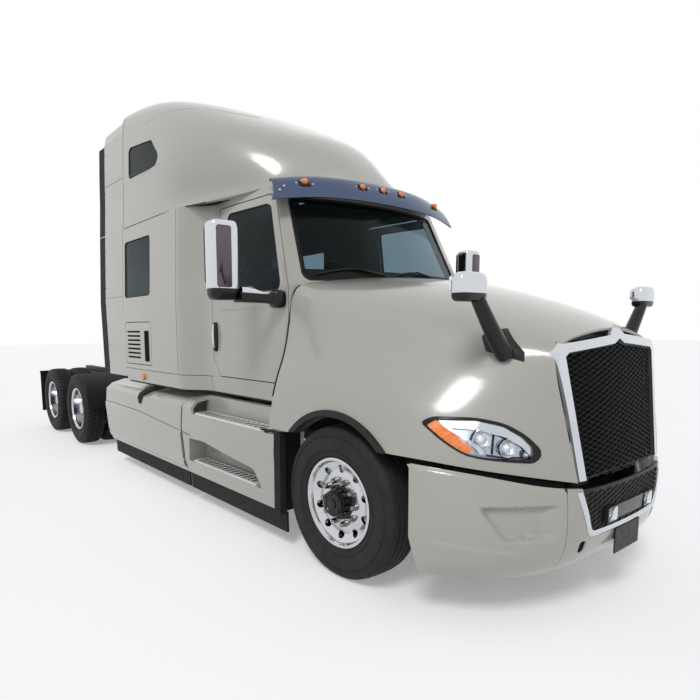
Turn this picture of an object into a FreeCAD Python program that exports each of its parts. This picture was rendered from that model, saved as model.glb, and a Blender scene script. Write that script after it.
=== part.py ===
import FreeCAD, Part
import math
import os

from FreeCAD import Vector

# Road tractor with a tall sleeper cab: a hood and cab on a ladder frame, one steered axle
# and two driven axles on twin wheels. Millimetres. +X is forward, +Y is the vehicle's left
# and +Z is up. In the code x is measured from the steered axle and the ground is z = 0;
# each piece is moved by axle_to_middle as it is saved, so the origin is the middle of the
# model's length and width, on the ground.

# Driving sizes of the chassis
overall_length = 8900
front_overhang = 1290
first_drive_axle = 5550
drive_axle_spacing = 1321
tyre_radius = 506
tyre_width = 278
wheel_half_track_front = 1047
twin_outer_face = 1222
twin_spacing = 334
rim_radius = 286
rim_lip_radius = 297
rim_half_width = 105
frame_half_width = 430
rail_height = 270
rail_flange = 85
rail_web = 9
frame_top = 1000
frame_front = 930

# Driving sizes of the cab, the sleeper and the roof
cab_wall = 52
cab_floor_z = 1075
lower_seam_z = 1212
belt_z = 1958
roof_seam_z = 2745
cab_half_width = 1046
cab_top_half_width = 930
sleeper_half_width = 1204
sleeper_top_half_width = 1172
sleeper_back_x = -3530
seam_gap = 8
seat = 0.5

# Driving sizes of the hood, the bumper and the fairings
skin = 16
arch_radius = 615
hood_bottom_z = 915
bumper_bottom_z = 290
bumper_skin = 22
fairing_half_width = 1235
fairing_top_z = 985
fairing_bottom_z = 285
fairing_rear_x = -4180
fairing_seam_x = -2112
fairing_front_x = -608
fairing_wall = 24
skirt_bottom_z = 130

axle_to_middle = overall_length / 2 - front_overhang
frame_rear = front_overhang - overall_length
lamp_depth = 25
rail_rear = frame_rear + lamp_depth
drive_axle_places = (-first_drive_axle, -first_drive_axle - drive_axle_spacing)
RIGHT = -1
LEFT = 1


def save(name, shape):
    moved = shape.copy()
    moved.translate(Vector(axle_to_middle, 0, 0))
    moved.exportStep("parts/" + name + ".step")


def box(x0, x1, y0, y1, z0, z1):
    low = Vector(min(x0, x1), min(y0, y1), min(z0, z1))
    return Part.makeBox(abs(x1 - x0), abs(y1 - y0), abs(z1 - z0), low)


def rod(start, end, radius):
    start = Vector(*start)
    run = Vector(*end) - start
    return Part.makeCylinder(radius, run.Length, start, run)


def rod_y(x, z, y0, y1, radius):
    return rod((x, y0, z), (x, y1, z), radius)


def mirrored(shape):
    return shape.mirror(Vector(0, 0, 0), Vector(0, 1, 0))


def on_side(shape, side):
    # Pieces are drawn on the left and mirrored for the right.
    return shape if side == LEFT else mirrored(shape)


def both_sides(shape):
    return Part.makeCompound([shape, mirrored(shape)])


def fuse_all(shapes):
    return shapes[0].multiFuse(shapes[1:]).removeSplitter()


def largest(shape):
    """The biggest solid of a shape, without slivers that a cut has left."""
    return max(shape.Solids, key=lambda solid: solid.Volume)


def rounded_wire(points, radius=0.0):
    """Closed wire through the points, with every corner rounded to the radius."""
    if radius <= 0:
        return Part.makePolygon(points + [points[0]])
    edges = []
    count = len(points)
    ends = []
    for i in range(count):
        corner = points[i]
        back = (points[i - 1] - corner).normalize()
        ahead = (points[(i + 1) % count] - corner).normalize()
        half = math.acos(max(-1.0, min(1.0, back.dot(ahead)))) / 2
        reach = radius / math.tan(half)
        middle = (back + ahead).normalize()
        centre = corner + middle * (radius / math.sin(half))
        ends.append((corner + back * reach, centre - middle * radius, corner + ahead * reach))
    for i in range(count):
        start, through, end = ends[i]
        edges.append(Part.Arc(start, through, end).toShape())
        following = ends[(i + 1) % count][0]
        if end.distanceToPoint(following) > 0.01:
            edges.append(Part.LineSegment(end, following).toShape())
    return Part.Wire(edges)


def prism_y(outline, y0, y1, radius=0.0):
    """Side-view outline of (x, z) points, pushed from y0 to y1."""
    wire = rounded_wire([Vector(x, y0, z) for x, z in outline], radius)
    return Part.Face(wire).extrude(Vector(0, y1 - y0, 0))


def prism_x(outline, x0, x1, radius=0.0):
    """Front-view outline of (y, z) points, pushed from x0 to x1."""
    wire = rounded_wire([Vector(x0, y, z) for y, z in outline], radius)
    return Part.Face(wire).extrude(Vector(x1 - x0, 0, 0))


def prism_z(outline, z0, z1, radius=0.0):
    """Plan outline of (x, y) points, pushed from z0 to z1."""
    wire = rounded_wire([Vector(x, y, z0) for x, y in outline], radius)
    return Part.Face(wire).extrude(Vector(0, 0, z1 - z0))


def turned_y(profile, x, z):
    """Ring turned about a line along Y through (x, z); profile points are (y, radius)."""
    wire = Part.makePolygon([Vector(x, y, z + r) for y, r in profile + [profile[0]]])
    return Part.Face(wire).revolve(Vector(x, 0, z), Vector(0, 1, 0), 360)


def normal_at(rows, i, j):
    before_i, after_i = max(i - 1, 0), min(i + 1, len(rows) - 1)
    before_j, after_j = max(j - 1, 0), min(j + 1, len(rows[0]) - 1)
    along = rows[after_i][j] - rows[before_i][j]
    across = rows[i][after_j] - rows[i][before_j]
    return along.cross(across).normalize()


def knot_counts(count):
    """Knots and their counts for a clamped cubic with this many control points."""
    spans = count - 3
    return list(range(spans + 1)), [4] + [1] * (spans - 1) + [4]


def smooth_surface(rows):
    """Cubic surface that is shaped by a grid of control points and stays within them."""
    along_knots, along_counts = knot_counts(len(rows))
    across_knots, across_counts = knot_counts(len(rows[0]))
    surface = Part.BSplineSurface()
    surface.buildFromPolesMultsKnots(rows, along_counts, across_counts, along_knots, across_knots,
                                     False, False, 3, 3)
    return surface


def skin_solid(rows, thickness):
    """Solid sheet on a grid of control points; its thickness lies on the side that the
    grid's normal (along the rows, then across) points to."""
    outer = smooth_surface(rows)
    inner = smooth_surface(set_in(rows, thickness))
    faces = [outer.toShape(), inner.toShape()]
    low_u, high_u, low_v, high_v = outer.bounds()
    for u in (low_u, high_u):
        faces.append(Part.makeRuledSurface(outer.uIso(u).toShape(), inner.uIso(u).toShape()))
    for v in (low_v, high_v):
        faces.append(Part.makeRuledSurface(outer.vIso(v).toShape(), inner.vIso(v).toShape()))
    shell = Part.makeShell(faces)
    shell.sewShape()
    solid = Part.Solid(Part.Shell(shell.Faces))
    if solid.Volume < 0:
        solid.reverse()
    return solid


def set_in(rows, depth):
    """The grid of control points moved along its own normals."""
    moved = []
    for i, row in enumerate(rows):
        moved.append([point + normal_at(rows, i, j) * depth for j, point in enumerate(row)])
    return moved


def full_width(lines):
    """Grid rows from half lines: each line is a list of (x, y, z) from rear to front, the
    first line is the side's lower edge and the last one is the middle of the vehicle."""
    rows = []
    for station in range(len(lines[0])):
        half = [Vector(*line[station]) for line in lines]
        other = [Vector(p.x, -p.y, p.z) for p in reversed(half[:-1])]
        rows.append(half + other)
    return rows


# Frame, engine and axles

cab_mount_places = (-900, -3350)
cross_half = 45


def frame():
    """Two channel rails with their crossmembers, the cab's mounts and the bumper's beam."""
    web = box(rail_rear, frame_front, frame_half_width - rail_web, frame_half_width,
              frame_top - rail_height, frame_top)
    for z in (frame_top - rail_web, frame_top - rail_height):
        web = web.fuse(box(rail_rear, frame_front, frame_half_width - rail_flange, frame_half_width,
                           z, z + rail_web))
    for x in cab_mount_places:
        web = web.fuse(box(x - 70, x + 70, frame_half_width - rail_flange, frame_half_width,
                           frame_top - rail_web / 2, cab_floor_z - seat))
    pieces = [web, mirrored(web)]
    cross_places = (frame_front - 200, gearbox_rear - 60, -2700, -3700, -4700, -first_drive_axle - 660,
                    rail_rear + cross_half)
    for x in cross_places:
        pieces.append(box(x - cross_half, x + cross_half, -frame_half_width + rail_web / 2,
                          frame_half_width - rail_web / 2, frame_top - rail_height + 40, frame_top - 60))
    return fuse_all(pieces + bumper_beam())


engine_front = 640
engine_rear = -430
engine_half_width = 300
engine_top = 1560
gearbox_rear = -1700
gearbox_bottom = 620


def engine():
    """Engine block with the gearbox behind it, held between the rails by two side mounts."""
    block = box(engine_rear, engine_front, -engine_half_width, engine_half_width, 640, engine_top)
    gearbox = box(gearbox_rear, engine_rear, -210, 210, gearbox_bottom, cab_floor_z - 45)
    mount_y = frame_half_width - rail_web - seat
    mounts = box(100, 260, -mount_y, mount_y, 780, 900)
    return fuse_all([block, gearbox, mounts])


radiator_gap = 160
radiator_depth = 160
radiator_top = 1480


def radiator():
    x = engine_front + radiator_gap
    return box(x, x + radiator_depth, -470, 470, frame_top + seat, radiator_top)


kingpin_y = 890
kingpin_radius = 24
pin_clearance = 0.1
beam_eye_radius = 52
beam_half_height = 46


def front_axle():
    """Dropped beam with its two leaf springs; the eyes at its ends take the kingpins."""
    eye_z = tyre_radius
    drop = 95
    pad_y = 620
    bend_y = kingpin_y - 65
    top_half = [(kingpin_y, eye_z), (bend_y, eye_z), (pad_y, eye_z - drop)]
    middle_line = top_half + [(-y, z) for y, z in reversed(top_half)]
    path = [(y, z + beam_half_height) for y, z in middle_line]
    path += [(y, z - beam_half_height) for y, z in reversed(middle_line)]
    pieces = [prism_x(path, -45, 45)]
    for side in (RIGHT, LEFT):
        pieces.append(rod((0, side * kingpin_y, eye_z - beam_half_height),
                          (0, side * kingpin_y, eye_z + beam_half_height), beam_eye_radius))
        spring_y = side * (frame_half_width - rail_flange / 2)
        top = frame_top - rail_height
        low = eye_z - drop + beam_half_height
        outline = [(-760, top), (-760, top - 60), (-120, low), (120, low), (760, top - 60), (760, top),
                   (700, top - 25), (120, low + 60), (-120, low + 60), (-700, top - 25)]
        pieces.append(prism_y(outline, spring_y - 45, spring_y + 45))
    beam = fuse_all(pieces)
    for side in (RIGHT, LEFT):
        beam = beam.cut(rod((0, side * kingpin_y, 0), (0, side * kingpin_y, 900),
                            kingpin_radius + pin_clearance))
    return beam


knuckle_gap = 6
knuckle_arm = 46
spindle_radius = 42
spindle_end = 1040


def knuckle(side):
    """Fork round the beam's eye with its kingpin and the spindle for the hub."""
    low = tyre_radius - beam_half_height - knuckle_gap
    high = tyre_radius + beam_half_height + knuckle_gap
    pieces = [rod((0, kingpin_y, low - knuckle_arm), (0, kingpin_y, high + knuckle_arm), kingpin_radius)]
    for z in (low - knuckle_arm, high):
        arm = rod((0, kingpin_y, z), (0, kingpin_y, z + knuckle_arm), beam_eye_radius)
        pieces.append(arm)
        pieces.append(box(-40, 40, kingpin_y, kingpin_y + 88, z, z + knuckle_arm))
    pieces.append(box(-60, 60, kingpin_y + 62, kingpin_y + 88, low - knuckle_arm, high + knuckle_arm))
    pieces.append(rod_y(0, tyre_radius, kingpin_y + 80, spindle_end, spindle_radius))
    pieces.append(box(-190, -30, kingpin_y + 66, kingpin_y + 88, low - knuckle_arm, low - 16))
    return on_side(fuse_all(pieces), side)


axle_tube_radius = 68
axle_tube_end = 1010


def drive_axles():
    axles = []
    for x in drive_axle_places:
        pieces = [rod_y(x, tyre_radius, -axle_tube_end, axle_tube_end, axle_tube_radius)]
        pieces.append(Part.makeSphere(205, Vector(x, 0, tyre_radius)))
        pieces.append(rod((x, 0, tyre_radius + 20), (x + 330, 0, tyre_radius + 60), 80))
        for side in (RIGHT, LEFT):
            y = side * (frame_half_width - rail_flange / 2)
            rail_bottom = frame_top - rail_height
            arm = [(x + 560, rail_bottom), (x + 560, 620), (x + 60, 400), (x - 480, 380), (x - 480, 450),
                   (x + 60, 540), (x + 460, rail_bottom)]
            pieces.append(prism_y(arm, y - 38, y + 38))
            pieces.append(rod((x - 380, y, 425), (x - 380, y, rail_bottom), 125))
        axles.append(fuse_all(pieces))
    gap_shaft = rod((drive_axle_places[1] + 331, 0, tyre_radius + 60),
                    (drive_axle_places[0] - 206, 0, tyre_radius + 60), 45)
    main_shaft = rod((drive_axle_places[0] + 331, 0, tyre_radius + 60),
                     (gearbox_rear - 5, 0, gearbox_bottom + 80), 52)
    return Part.makeCompound(axles + [gap_shaft, main_shaft])


# Wheels

def tyre_profile(middle_y):
    half = tyre_width / 2
    bead = rim_half_width - seat
    return [(middle_y - bead, rim_radius), (middle_y - bead, rim_lip_radius + seat),
            (middle_y - half, rim_radius + 75), (middle_y - half, tyre_radius - 70),
            (middle_y - half + 28, tyre_radius - 6), (middle_y - half + 60, tyre_radius),
            (middle_y + half - 60, tyre_radius), (middle_y + half - 28, tyre_radius - 6),
            (middle_y + half, tyre_radius - 70), (middle_y + half, rim_radius + 75),
            (middle_y + bead, rim_lip_radius + seat), (middle_y + bead, rim_radius)]


def front_tyre(side):
    return on_side(turned_y(tyre_profile(wheel_half_track_front), 0, tyre_radius), side)


def hand_holes(x, y0, y1, ring_radius, hole_radius, count):
    holes = []
    for k in range(count):
        turn = 2 * math.pi * (k + 0.5) / count
        cx = x + ring_radius * math.cos(turn)
        cz = tyre_radius + ring_radius * math.sin(turn)
        holes.append(rod_y(cx, cz, y0, y1, hole_radius))
    return holes


disc_wall = 22
hub_bore = spindle_radius + pin_clearance
hand_hole_ring = 222
hand_hole_radius = 27
hand_hole_count = 10


def front_rim(side):
    """One-piece disc wheel with its hub; the disc bulges outward."""
    mid = wheel_half_track_front
    lip = mid + 116
    outer = [(mid - 116, rim_lip_radius), (mid - 105, rim_lip_radius), (mid - 105, rim_radius - 0.5),
             (mid + 105, rim_radius - 0.5), (mid + 105, rim_lip_radius), (lip, rim_lip_radius),
             (lip, rim_radius - 8), (mid + 92, rim_radius - 20), (mid + 66, 214), (mid + 80, 176), (mid + 80, 92),
             (mid + 150, 82), (mid + 150, 0), (mid + 62, 0), (mid + 62, hub_bore), (mid - 62, hub_bore),
             (mid - 62, 160), (mid + 58, 160), (mid + 44, 214), (mid + 60, rim_radius - 22),
             (mid - 116, rim_radius - 22)]
    wheel = turned_y(outer, 0, tyre_radius)
    for hole in hand_holes(0, mid - 20, mid + 130, hand_hole_ring, hand_hole_radius, hand_hole_count):
        wheel = wheel.cut(hole)
    return on_side(wheel, side)


def twin_middles():
    outer = twin_outer_face - tyre_width / 2
    return (outer - twin_spacing, outer)


def twin_tyres(x, side):
    tyres = [turned_y(tyre_profile(y), x, tyre_radius) for y in twin_middles()]
    return on_side(Part.makeCompound(tyres), side)


def twin_rims(x, side):
    """Two rims whose discs meet back to back on one hub; the outer one is dished."""
    inner_mid, outer_mid = twin_middles()
    meet = (inner_mid + outer_mid) / 2
    outer = [(meet, 205), (meet, 112), (meet + 70, 108), (meet + 70, 88), (outer_mid + 60, 80),
             (outer_mid + 60, 0),
             (axle_tube_end + 6, 0), (axle_tube_end + 6, axle_tube_radius + pin_clearance),
             (inner_mid - 60, axle_tube_radius + pin_clearance),
             (inner_mid - 60, 150), (meet - disc_wall, 150), (meet - disc_wall, 205),
             (inner_mid + 40, rim_radius - 22), (inner_mid - 116, rim_radius - 22),
             (inner_mid - 116, rim_lip_radius), (inner_mid - 105, rim_lip_radius),
             (inner_mid - 105, rim_radius - 0.5), (inner_mid + 105, rim_radius - 0.5),
             (inner_mid + 105, rim_lip_radius), (inner_mid + 116, rim_lip_radius),
             (inner_mid + 116, rim_radius - 10), (meet - 1, 232)]
    far = [(meet - 1, 232), (outer_mid - 116, rim_radius - 10), (outer_mid - 116, rim_lip_radius),
           (outer_mid - 105, rim_lip_radius), (outer_mid - 105, rim_radius - 0.5),
           (outer_mid + 105, rim_radius - 0.5), (outer_mid + 105, rim_lip_radius),
           (outer_mid + 116, rim_lip_radius), (outer_mid + 116, rim_radius - 10),
           (outer_mid + 96, rim_radius - 22), (outer_mid - 40, rim_radius - 24), (meet + disc_wall, 205),
           (meet, 205)]
    wheel = turned_y(outer[:-1] + far, x, tyre_radius)
    for hole in hand_holes(x, meet - 60, meet + 60, hand_hole_ring - 60, hand_hole_radius - 4, hand_hole_count):
        wheel = wheel.cut(hole)
    return on_side(wheel, side)


# Cab, sleeper and doors

def cab_front(z):
    """Middle and corner x and corner half width of the cab's front at a height."""
    if z <= belt_z:
        return -450, -650, cab_half_width - 16
    up = (z - belt_z) / (roof_seam_z - belt_z)
    return -450 - 390 * up, -650 - 340 * up, cab_half_width - 16 - 116 * up


def side_half_widths(z):
    """Half widths of the cab and of the sleeper at a height."""
    if z <= lower_seam_z:
        tuck = 20 * (lower_seam_z - z) / (lower_seam_z - cab_floor_z)
        return cab_half_width - tuck, sleeper_half_width - tuck
    if z <= belt_z:
        return cab_half_width, sleeper_half_width
    up = (z - belt_z) / (roof_seam_z - belt_z)
    return (cab_half_width + (cab_top_half_width - cab_half_width) * up,
            sleeper_half_width + (sleeper_top_half_width - sleeper_half_width) * up)


pillar_reach = 50
flare_front = -1830
flare_rear = -2190


def cab_plan(z, inset):
    """Closed plan wire of the cab and sleeper at height z, set in by a wall."""
    middle_x, corner_x, corner_y = cab_front(z)
    cab_y, sleeper_y = side_half_widths(z)
    bow_y = corner_y * 0.55
    bow_x = middle_x + (corner_x - middle_x) * 0.32
    front = Part.BSplineCurve()
    front.interpolate([Vector(corner_x - inset, inset - corner_y, z), Vector(bow_x - inset, -bow_y, z),
                       Vector(middle_x - inset, 0, z), Vector(bow_x - inset, bow_y, z),
                       Vector(corner_x - inset, corner_y - inset, z)])

    def half(side):
        start = Vector(corner_x - inset, side * (corner_y - inset), z)
        pillar = Vector(corner_x - pillar_reach - inset, side * (cab_y - inset), z)
        flare0 = Vector(flare_front, side * (cab_y - inset), z)
        flare1 = Vector(flare_rear, side * (sleeper_y - inset), z)
        back = Vector(sleeper_back_x + inset, side * (sleeper_y - inset), z)
        flare = Part.BSplineCurve()
        third = (flare1 - flare0) * 0.5
        flare.interpolate([flare0, flare0 + third, flare1], InitialTangent=Vector(-1, 0, 0),
                          FinalTangent=Vector(-1, 0, 0))
        return [Part.LineSegment(start, pillar).toShape(), Part.LineSegment(pillar, flare0).toShape(),
                flare.toShape(), Part.LineSegment(flare1, back).toShape()], back

    left_edges, back_left = half(LEFT)
    right_edges, back_right = half(RIGHT)
    back = Part.LineSegment(back_left, back_right).toShape()
    return Part.Wire(Part.sortEdges([front.toShape()] + left_edges + [back] + right_edges)[0])


def cab_solid(inset, z0, z1):
    levels = [z0] + [z for z in (lower_seam_z, belt_z) if z0 < z < z1] + [z1]
    return Part.makeLoft([cab_plan(z, inset) for z in levels], True, True)


def cab_hull():
    outer = cab_solid(0, cab_floor_z, roof_seam_z - seat)
    inner = cab_solid(cab_wall, cab_floor_z + 45, roof_seam_z + 20)
    return outer.cut(inner)


door_front = -662
door_rear = -1785
door_outline = [(door_front, 1392), (door_front, belt_z - 10), (-944, 2640), (-1010, 2680), (door_rear, 2695),
                (door_rear, 1400), (-1668, lower_seam_z + 6), (-748, lower_seam_z + 6)]
window_outline = [(-735, 1925), (-985, 2585), (-1050, 2610), (-1640, 2628), (-1640, 1985), (-1150, 1975),
                  (-1000, 1925)]
hatch_outline = [(-3492, 1262), (-3492, 1722), (-2790, 1722), (-2790, 1262)]
bunk_window = [(-3475, 1985), (-3475, 2590), (-2785, 2590), (-2785, 1985)]
loft_window = [(-3330, 3235), (-3330, 3560), (-2760, 3500), (-2560, 3300), (-2640, 3215)]


def shrunk(outline, gap):
    """The outline moved inward by a gap, each corner along its own bisector."""
    points = [Vector(x, 0, z) for x, z in outline]
    wire = Part.makePolygon(points + [points[0]])
    inner = Part.Face(wire).makeOffset2D(-gap, 2)
    return [(v.Point.x, v.Point.z) for v in inner.OuterWire.OrderedVertexes]


def side_prism(outline, side, radius=0.0, depth=400):
    near, far = side * (sleeper_half_width - depth), side * (sleeper_half_width + 200)
    return prism_y(outline, near, far, radius)


def door_zone(side, set_back):
    """Space taken by the cab's side wall from a depth below its outer face outward."""
    outer_low, outer_top = cab_half_width - set_back, cab_top_half_width - set_back
    outline = [(side * outer_low, cab_floor_z), (side * outer_low, belt_z), (side * outer_top, roof_seam_z),
               (side * (cab_half_width + 100), roof_seam_z), (side * (cab_half_width + 100), cab_floor_z)]
    return prism_x(outline, door_rear - 20, -600)


windscreen_outline = [(-930, 1990), (-845, 2655), (845, 2655), (930, 1990)]


def cab_shell(hull):
    shell = hull
    for side in (RIGHT, LEFT):
        shell = shell.cut(side_prism(door_outline, side).common(door_zone(side, cab_wall + 1)))
        shell = shell.cut(side_prism(hatch_outline, side, 40, cab_wall + 1))
        shell = shell.cut(side_prism(bunk_window, side, 45))
    return shell.cut(prism_x(windscreen_outline, -1400, 0, 60))


glass_thickness = 8
glass_clearance = 1


def glass_skin():
    outer = cab_solid(10, cab_floor_z + 20, roof_seam_z - 20)
    return outer.cut(cab_solid(10 + glass_thickness, cab_floor_z, roof_seam_z))


def windscreen(glass):
    return glass.common(prism_x(shrunk(windscreen_outline, glass_clearance), -1400, 0, 59))


def door_panel(hull, side):
    leaf = side_prism(shrunk(door_outline, seam_gap), LEFT).common(door_zone(LEFT, cab_wall - seam_gap))
    swing_room = [(door_rear - 50, belt_z), (door_rear + seam_gap, belt_z),
                  (door_rear + 2 * seam_gap, roof_seam_z),
                  (door_rear - 50, roof_seam_z)]
    panel = hull.common(leaf).cut(side_prism(swing_room, LEFT)).cut(side_prism(window_outline, LEFT, 50))
    return on_side(panel, side)


def door_glass(glass, side):
    return on_side(glass.common(side_prism(shrunk(window_outline, glass_clearance), LEFT, 49)), side)


def hatch(hull, side):
    panel = hull.common(side_prism(shrunk(hatch_outline, seam_gap), LEFT, 32, cab_wall))
    for k in range(7):
        z = 1330 + k * 46
        panel = panel.cut(box(-3440, -3080, sleeper_half_width - 30, sleeper_half_width + 30, z, z + 20))
    return on_side(panel, side)


def sleeper_windows(glass, roof_glass):
    bunk_pane = glass.common(side_prism(shrunk(bunk_window, glass_clearance), LEFT, 44))
    loft_pane = roof_glass.common(side_prism(shrunk(loft_window, glass_clearance), LEFT, 59))
    return both_sides(Part.makeCompound([bunk_pane, loft_pane]))


roof_lines = [
    [(-3530, 1172, roof_seam_z), (-3000, 1172, roof_seam_z), (-2500, 1172, roof_seam_z),
     (-2190, 1168, roof_seam_z), (-1900, 1085, roof_seam_z), (-1450, 962, roof_seam_z),
     (-1120, 925, roof_seam_z), (-900, 905, roof_seam_z)],
    [(-3530, 1168, 2900), (-3000, 1168, 2900), (-2500, 1168, 2880), (-2190, 1140, 2820), (-1880, 1015, 2775),
     (-1450, 860, 2762), (-1120, 790, 2775), (-880, 790, 2790)],
    [(-3530, 1160, 3140), (-3000, 1162, 3130), (-2500, 1168, 3060), (-2160, 1130, 2930), (-1840, 960, 2870),
     (-1440, 770, 2830), (-1115, 620, 2810), (-855, 610, 2803)],
    [(-3530, 1148, 3440), (-3000, 1152, 3400), (-2500, 1165, 3280), (-2140, 1165, 3110), (-1820, 1020, 3030),
     (-1440, 790, 2965), (-1100, 510, 2850), (-830, 430, 2815)],
    [(-3530, 1135, 3850), (-3000, 1125, 3825), (-2500, 1090, 3690), (-2140, 1060, 3470), (-1810, 935, 3330),
     (-1445, 725, 3160), (-1085, 400, 2960), (-812, 300, 2822)],
    [(-3530, 1085, 4010), (-3000, 1030, 4005), (-2500, 915, 3875), (-2150, 830, 3695), (-1820, 730, 3515),
     (-1455, 560, 3330), (-1070, 290, 3090), (-798, 210, 2826)],
    [(-3530, 560, 4015), (-3000, 520, 4010), (-2500, 450, 3885), (-2150, 400, 3740), (-1830, 350, 3578),
     (-1470, 270, 3400), (-1065, 150, 3195), (-788, 130, 2828)],
    [(-3530, 0, 4010), (-3000, 0, 4005), (-2500, 0, 3880), (-2150, 0, 3745), (-1830, 0, 3585), (-1470, 0, 3412),
     (-1062, 0, 3212), (-785, 0, 2828)],
]
roof_wall = 26


def roof_skin(depth, wall):
    return skin_solid(set_in(full_width(roof_lines), depth), wall)


def arch_curve(points):
    """Smooth curve shaped by control points."""
    knots, counts = knot_counts(len(points))
    arch = Part.BSplineCurve()
    arch.buildFromPolesMultsKnots(points, counts, knots, False, 3)
    return arch.toShape()


def roof_back():
    """Flat rear wall that closes the roof behind the bunk."""
    rear = set_in(full_width(roof_lines), roof_wall / 2)[0]
    rear = [Vector(sleeper_back_x + 4, p.y, max(p.z, roof_seam_z)) for p in rear]
    base = Part.LineSegment(rear[-1], rear[0]).toShape()
    return Part.Face(Part.Wire([arch_curve(rear), base])).extrude(Vector(roof_wall, 0, 0))


def roof_front_edge(z):
    """Control points of the roof's front edge in plan, laid at height z."""
    edge = set_in(full_width(roof_lines), roof_wall / 2)[-1]
    return [Vector(p.x - 6, p.y, z) for p in edge]


def roof_nose_block(z0, z1, rear_x):
    """Solid below the roof's front edge, from that edge back to rear_x."""
    edge = roof_front_edge(z0)
    back_right, back_left = Vector(rear_x, edge[-1].y, z0), Vector(rear_x, edge[0].y, z0)
    lines = [Part.LineSegment(edge[-1], back_right).toShape(), Part.LineSegment(back_right, back_left).toShape(),
             Part.LineSegment(back_left, edge[0]).toShape()]
    return Part.Face(Part.Wire([arch_curve(edge)] + lines)).extrude(Vector(0, 0, z1 - z0))


def roof_front():
    """Wall below the roof's front edge and the ledge that joins it to the cab's top."""
    top = set_in(full_width(roof_lines), roof_wall / 2)[-1]
    top = [Vector(p.x - 6, p.y, max(p.z, roof_seam_z + 4)) for p in top]
    wall = Part.makeRuledSurface(arch_curve(roof_front_edge(roof_seam_z)), arch_curve(top))
    wall = wall.extrude(Vector(-roof_wall, 0, 0))
    ledge = roof_nose_block(roof_seam_z, roof_seam_z + roof_wall, -1040)
    return wall, ledge.cut(cab_solid(cab_wall, roof_seam_z - 90, roof_seam_z + 90))


def roof_fairing():
    roof = fuse_all([roof_skin(0, roof_wall), roof_back()] + list(roof_front()))
    roof = roof.cut(box(sleeper_back_x - 10, 0, -1300, 1300, roof_seam_z - 200, roof_seam_z))
    for side in (RIGHT, LEFT):
        roof = roof.cut(side_prism(loft_window, side, 60))
    return roof


extender_rear = -4100
rubber_rear = -4330
rubber_wall = 12


def extender_section(thickness):
    side = [(sleeper_half_width - 14, 1110), (sleeper_half_width, belt_z), (sleeper_top_half_width, roof_seam_z),
            (1152, 3120), (1143, 3440), (1128, 3780), (1105, 3880), (1050, 3935), (960, 3960)]
    inner = [(y - thickness, z) for y, z in side[:6]] + [(y - thickness, z - thickness) for y, z in side[6:]]
    return side + inner[::-1]


extender_wall = 28
extender_bracket_places = (1350, 2050, 2600, 3100, 3450)


def side_extenders():
    """Panels that carry the sleeper's sides rearward, with brackets to its back wall."""
    pieces = [prism_x(extender_section(extender_wall), sleeper_back_x - seam_gap, extender_rear)]
    for z in extender_bracket_places:
        pieces.append(box(sleeper_back_x - seat, sleeper_back_x - 60, 1050, 1138, z, z + 40))
    return both_sides(fuse_all(pieces))


# Hood, lamps and grille

hood_lines = [
    [(-690, 1215, hood_bottom_z), (-350, 1215, hood_bottom_z), (0, 1215, hood_bottom_z + 4),
     (300, 1210, hood_bottom_z + 8), (530, 1185, hood_bottom_z + 8), (745, 1098, hood_bottom_z - 5),
     (965, 905, 862), (1235, 532, 800)],
    [(-655, 1192, 1225), (-350, 1197, 1250), (0, 1197, 1232), (300, 1190, 1180), (545, 1150, 1115),
     (765, 1062, 1060), (978, 880, 1010), (1212, 566, 950)],
    [(-640, 1105, 1395), (-340, 1130, 1410), (0, 1130, 1372), (300, 1110, 1315), (560, 1055, 1258),
     (785, 962, 1208), (985, 820, 1168), (1182, 592, 1120)],
    [(-638, 1045, 1690), (-330, 1030, 1630), (0, 1005, 1560), (300, 970, 1492), (575, 918, 1430),
     (800, 845, 1378), (985, 755, 1335), (1150, 614, 1290)],
    [(-632, 1035, 1960), (-325, 985, 1880), (0, 935, 1785), (300, 888, 1700), (570, 837, 1627),
     (795, 775, 1560), (970, 710, 1510), (1118, 634, 1465)],
    [(-556, 850, 1980), (-275, 770, 1950), (20, 728, 1898), (320, 700, 1818), (590, 665, 1740),
     (815, 630, 1668), (985, 600, 1610), (1110, 566, 1558)],
    [(-478, 420, 2020), (-220, 395, 1998), (80, 385, 1962), (380, 370, 1886), (635, 355, 1812),
     (850, 335, 1738), (1015, 320, 1672), (1128, 300, 1608)],
    [(-440, 0, 2046), (-195, 0, 2022), (100, 0, 1978), (400, 0, 1904), (655, 0, 1832), (868, 0, 1758),
     (1030, 0, 1692), (1140, 0, 1640)],
]
lamp_outline = [(625, 1115), (678, 1148), (862, 1150), (975, 1120), (1050, 1060), (1098, 992), (1103, 950),
                (1080, 914), (974, 924), (855, 946), (755, 1014)]


def hood_solid():
    return skin_solid(full_width(hood_lines), skin)


def lamp_prism(side, shrink):
    """Headlamp outline drawn in side view and pushed through the fender."""
    outline = shrunk(lamp_outline, shrink) if shrink else lamp_outline
    return prism_y(outline, side * 600, side * 1260, 18 - shrink)


def hood_shell(solid):
    shell = solid.cut(rod_y(0, tyre_radius, -1300, -900, arch_radius))
    shell = shell.cut(rod_y(0, tyre_radius, 900, 1300, arch_radius))
    for side in (RIGHT, LEFT):
        shell = shell.cut(lamp_prism(side, 0))
    return shell


def headlamps(solid):
    return Part.makeCompound([solid.common(lamp_prism(side, seat)) for side in (RIGHT, LEFT)])


lip_inner_radius = 562
lip_depth = 90


def arch_trims():
    """Black lips round the wheel arches, carried by the fenders' edges."""
    outer_y = 1212
    lip_radius = arch_radius - seat
    ring = turned_y([(outer_y - lip_depth, lip_radius), (outer_y - lip_depth, lip_inner_radius),
                     (outer_y - 30, lip_inner_radius), (outer_y, arch_radius - 40),
                     (outer_y, lip_radius)], 0, tyre_radius)
    trim = ring.common(box(-700, 700, 1000, 1300, hood_bottom_z + 6, 1300))
    return both_sides(trim)


surround_depth = 46


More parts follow.
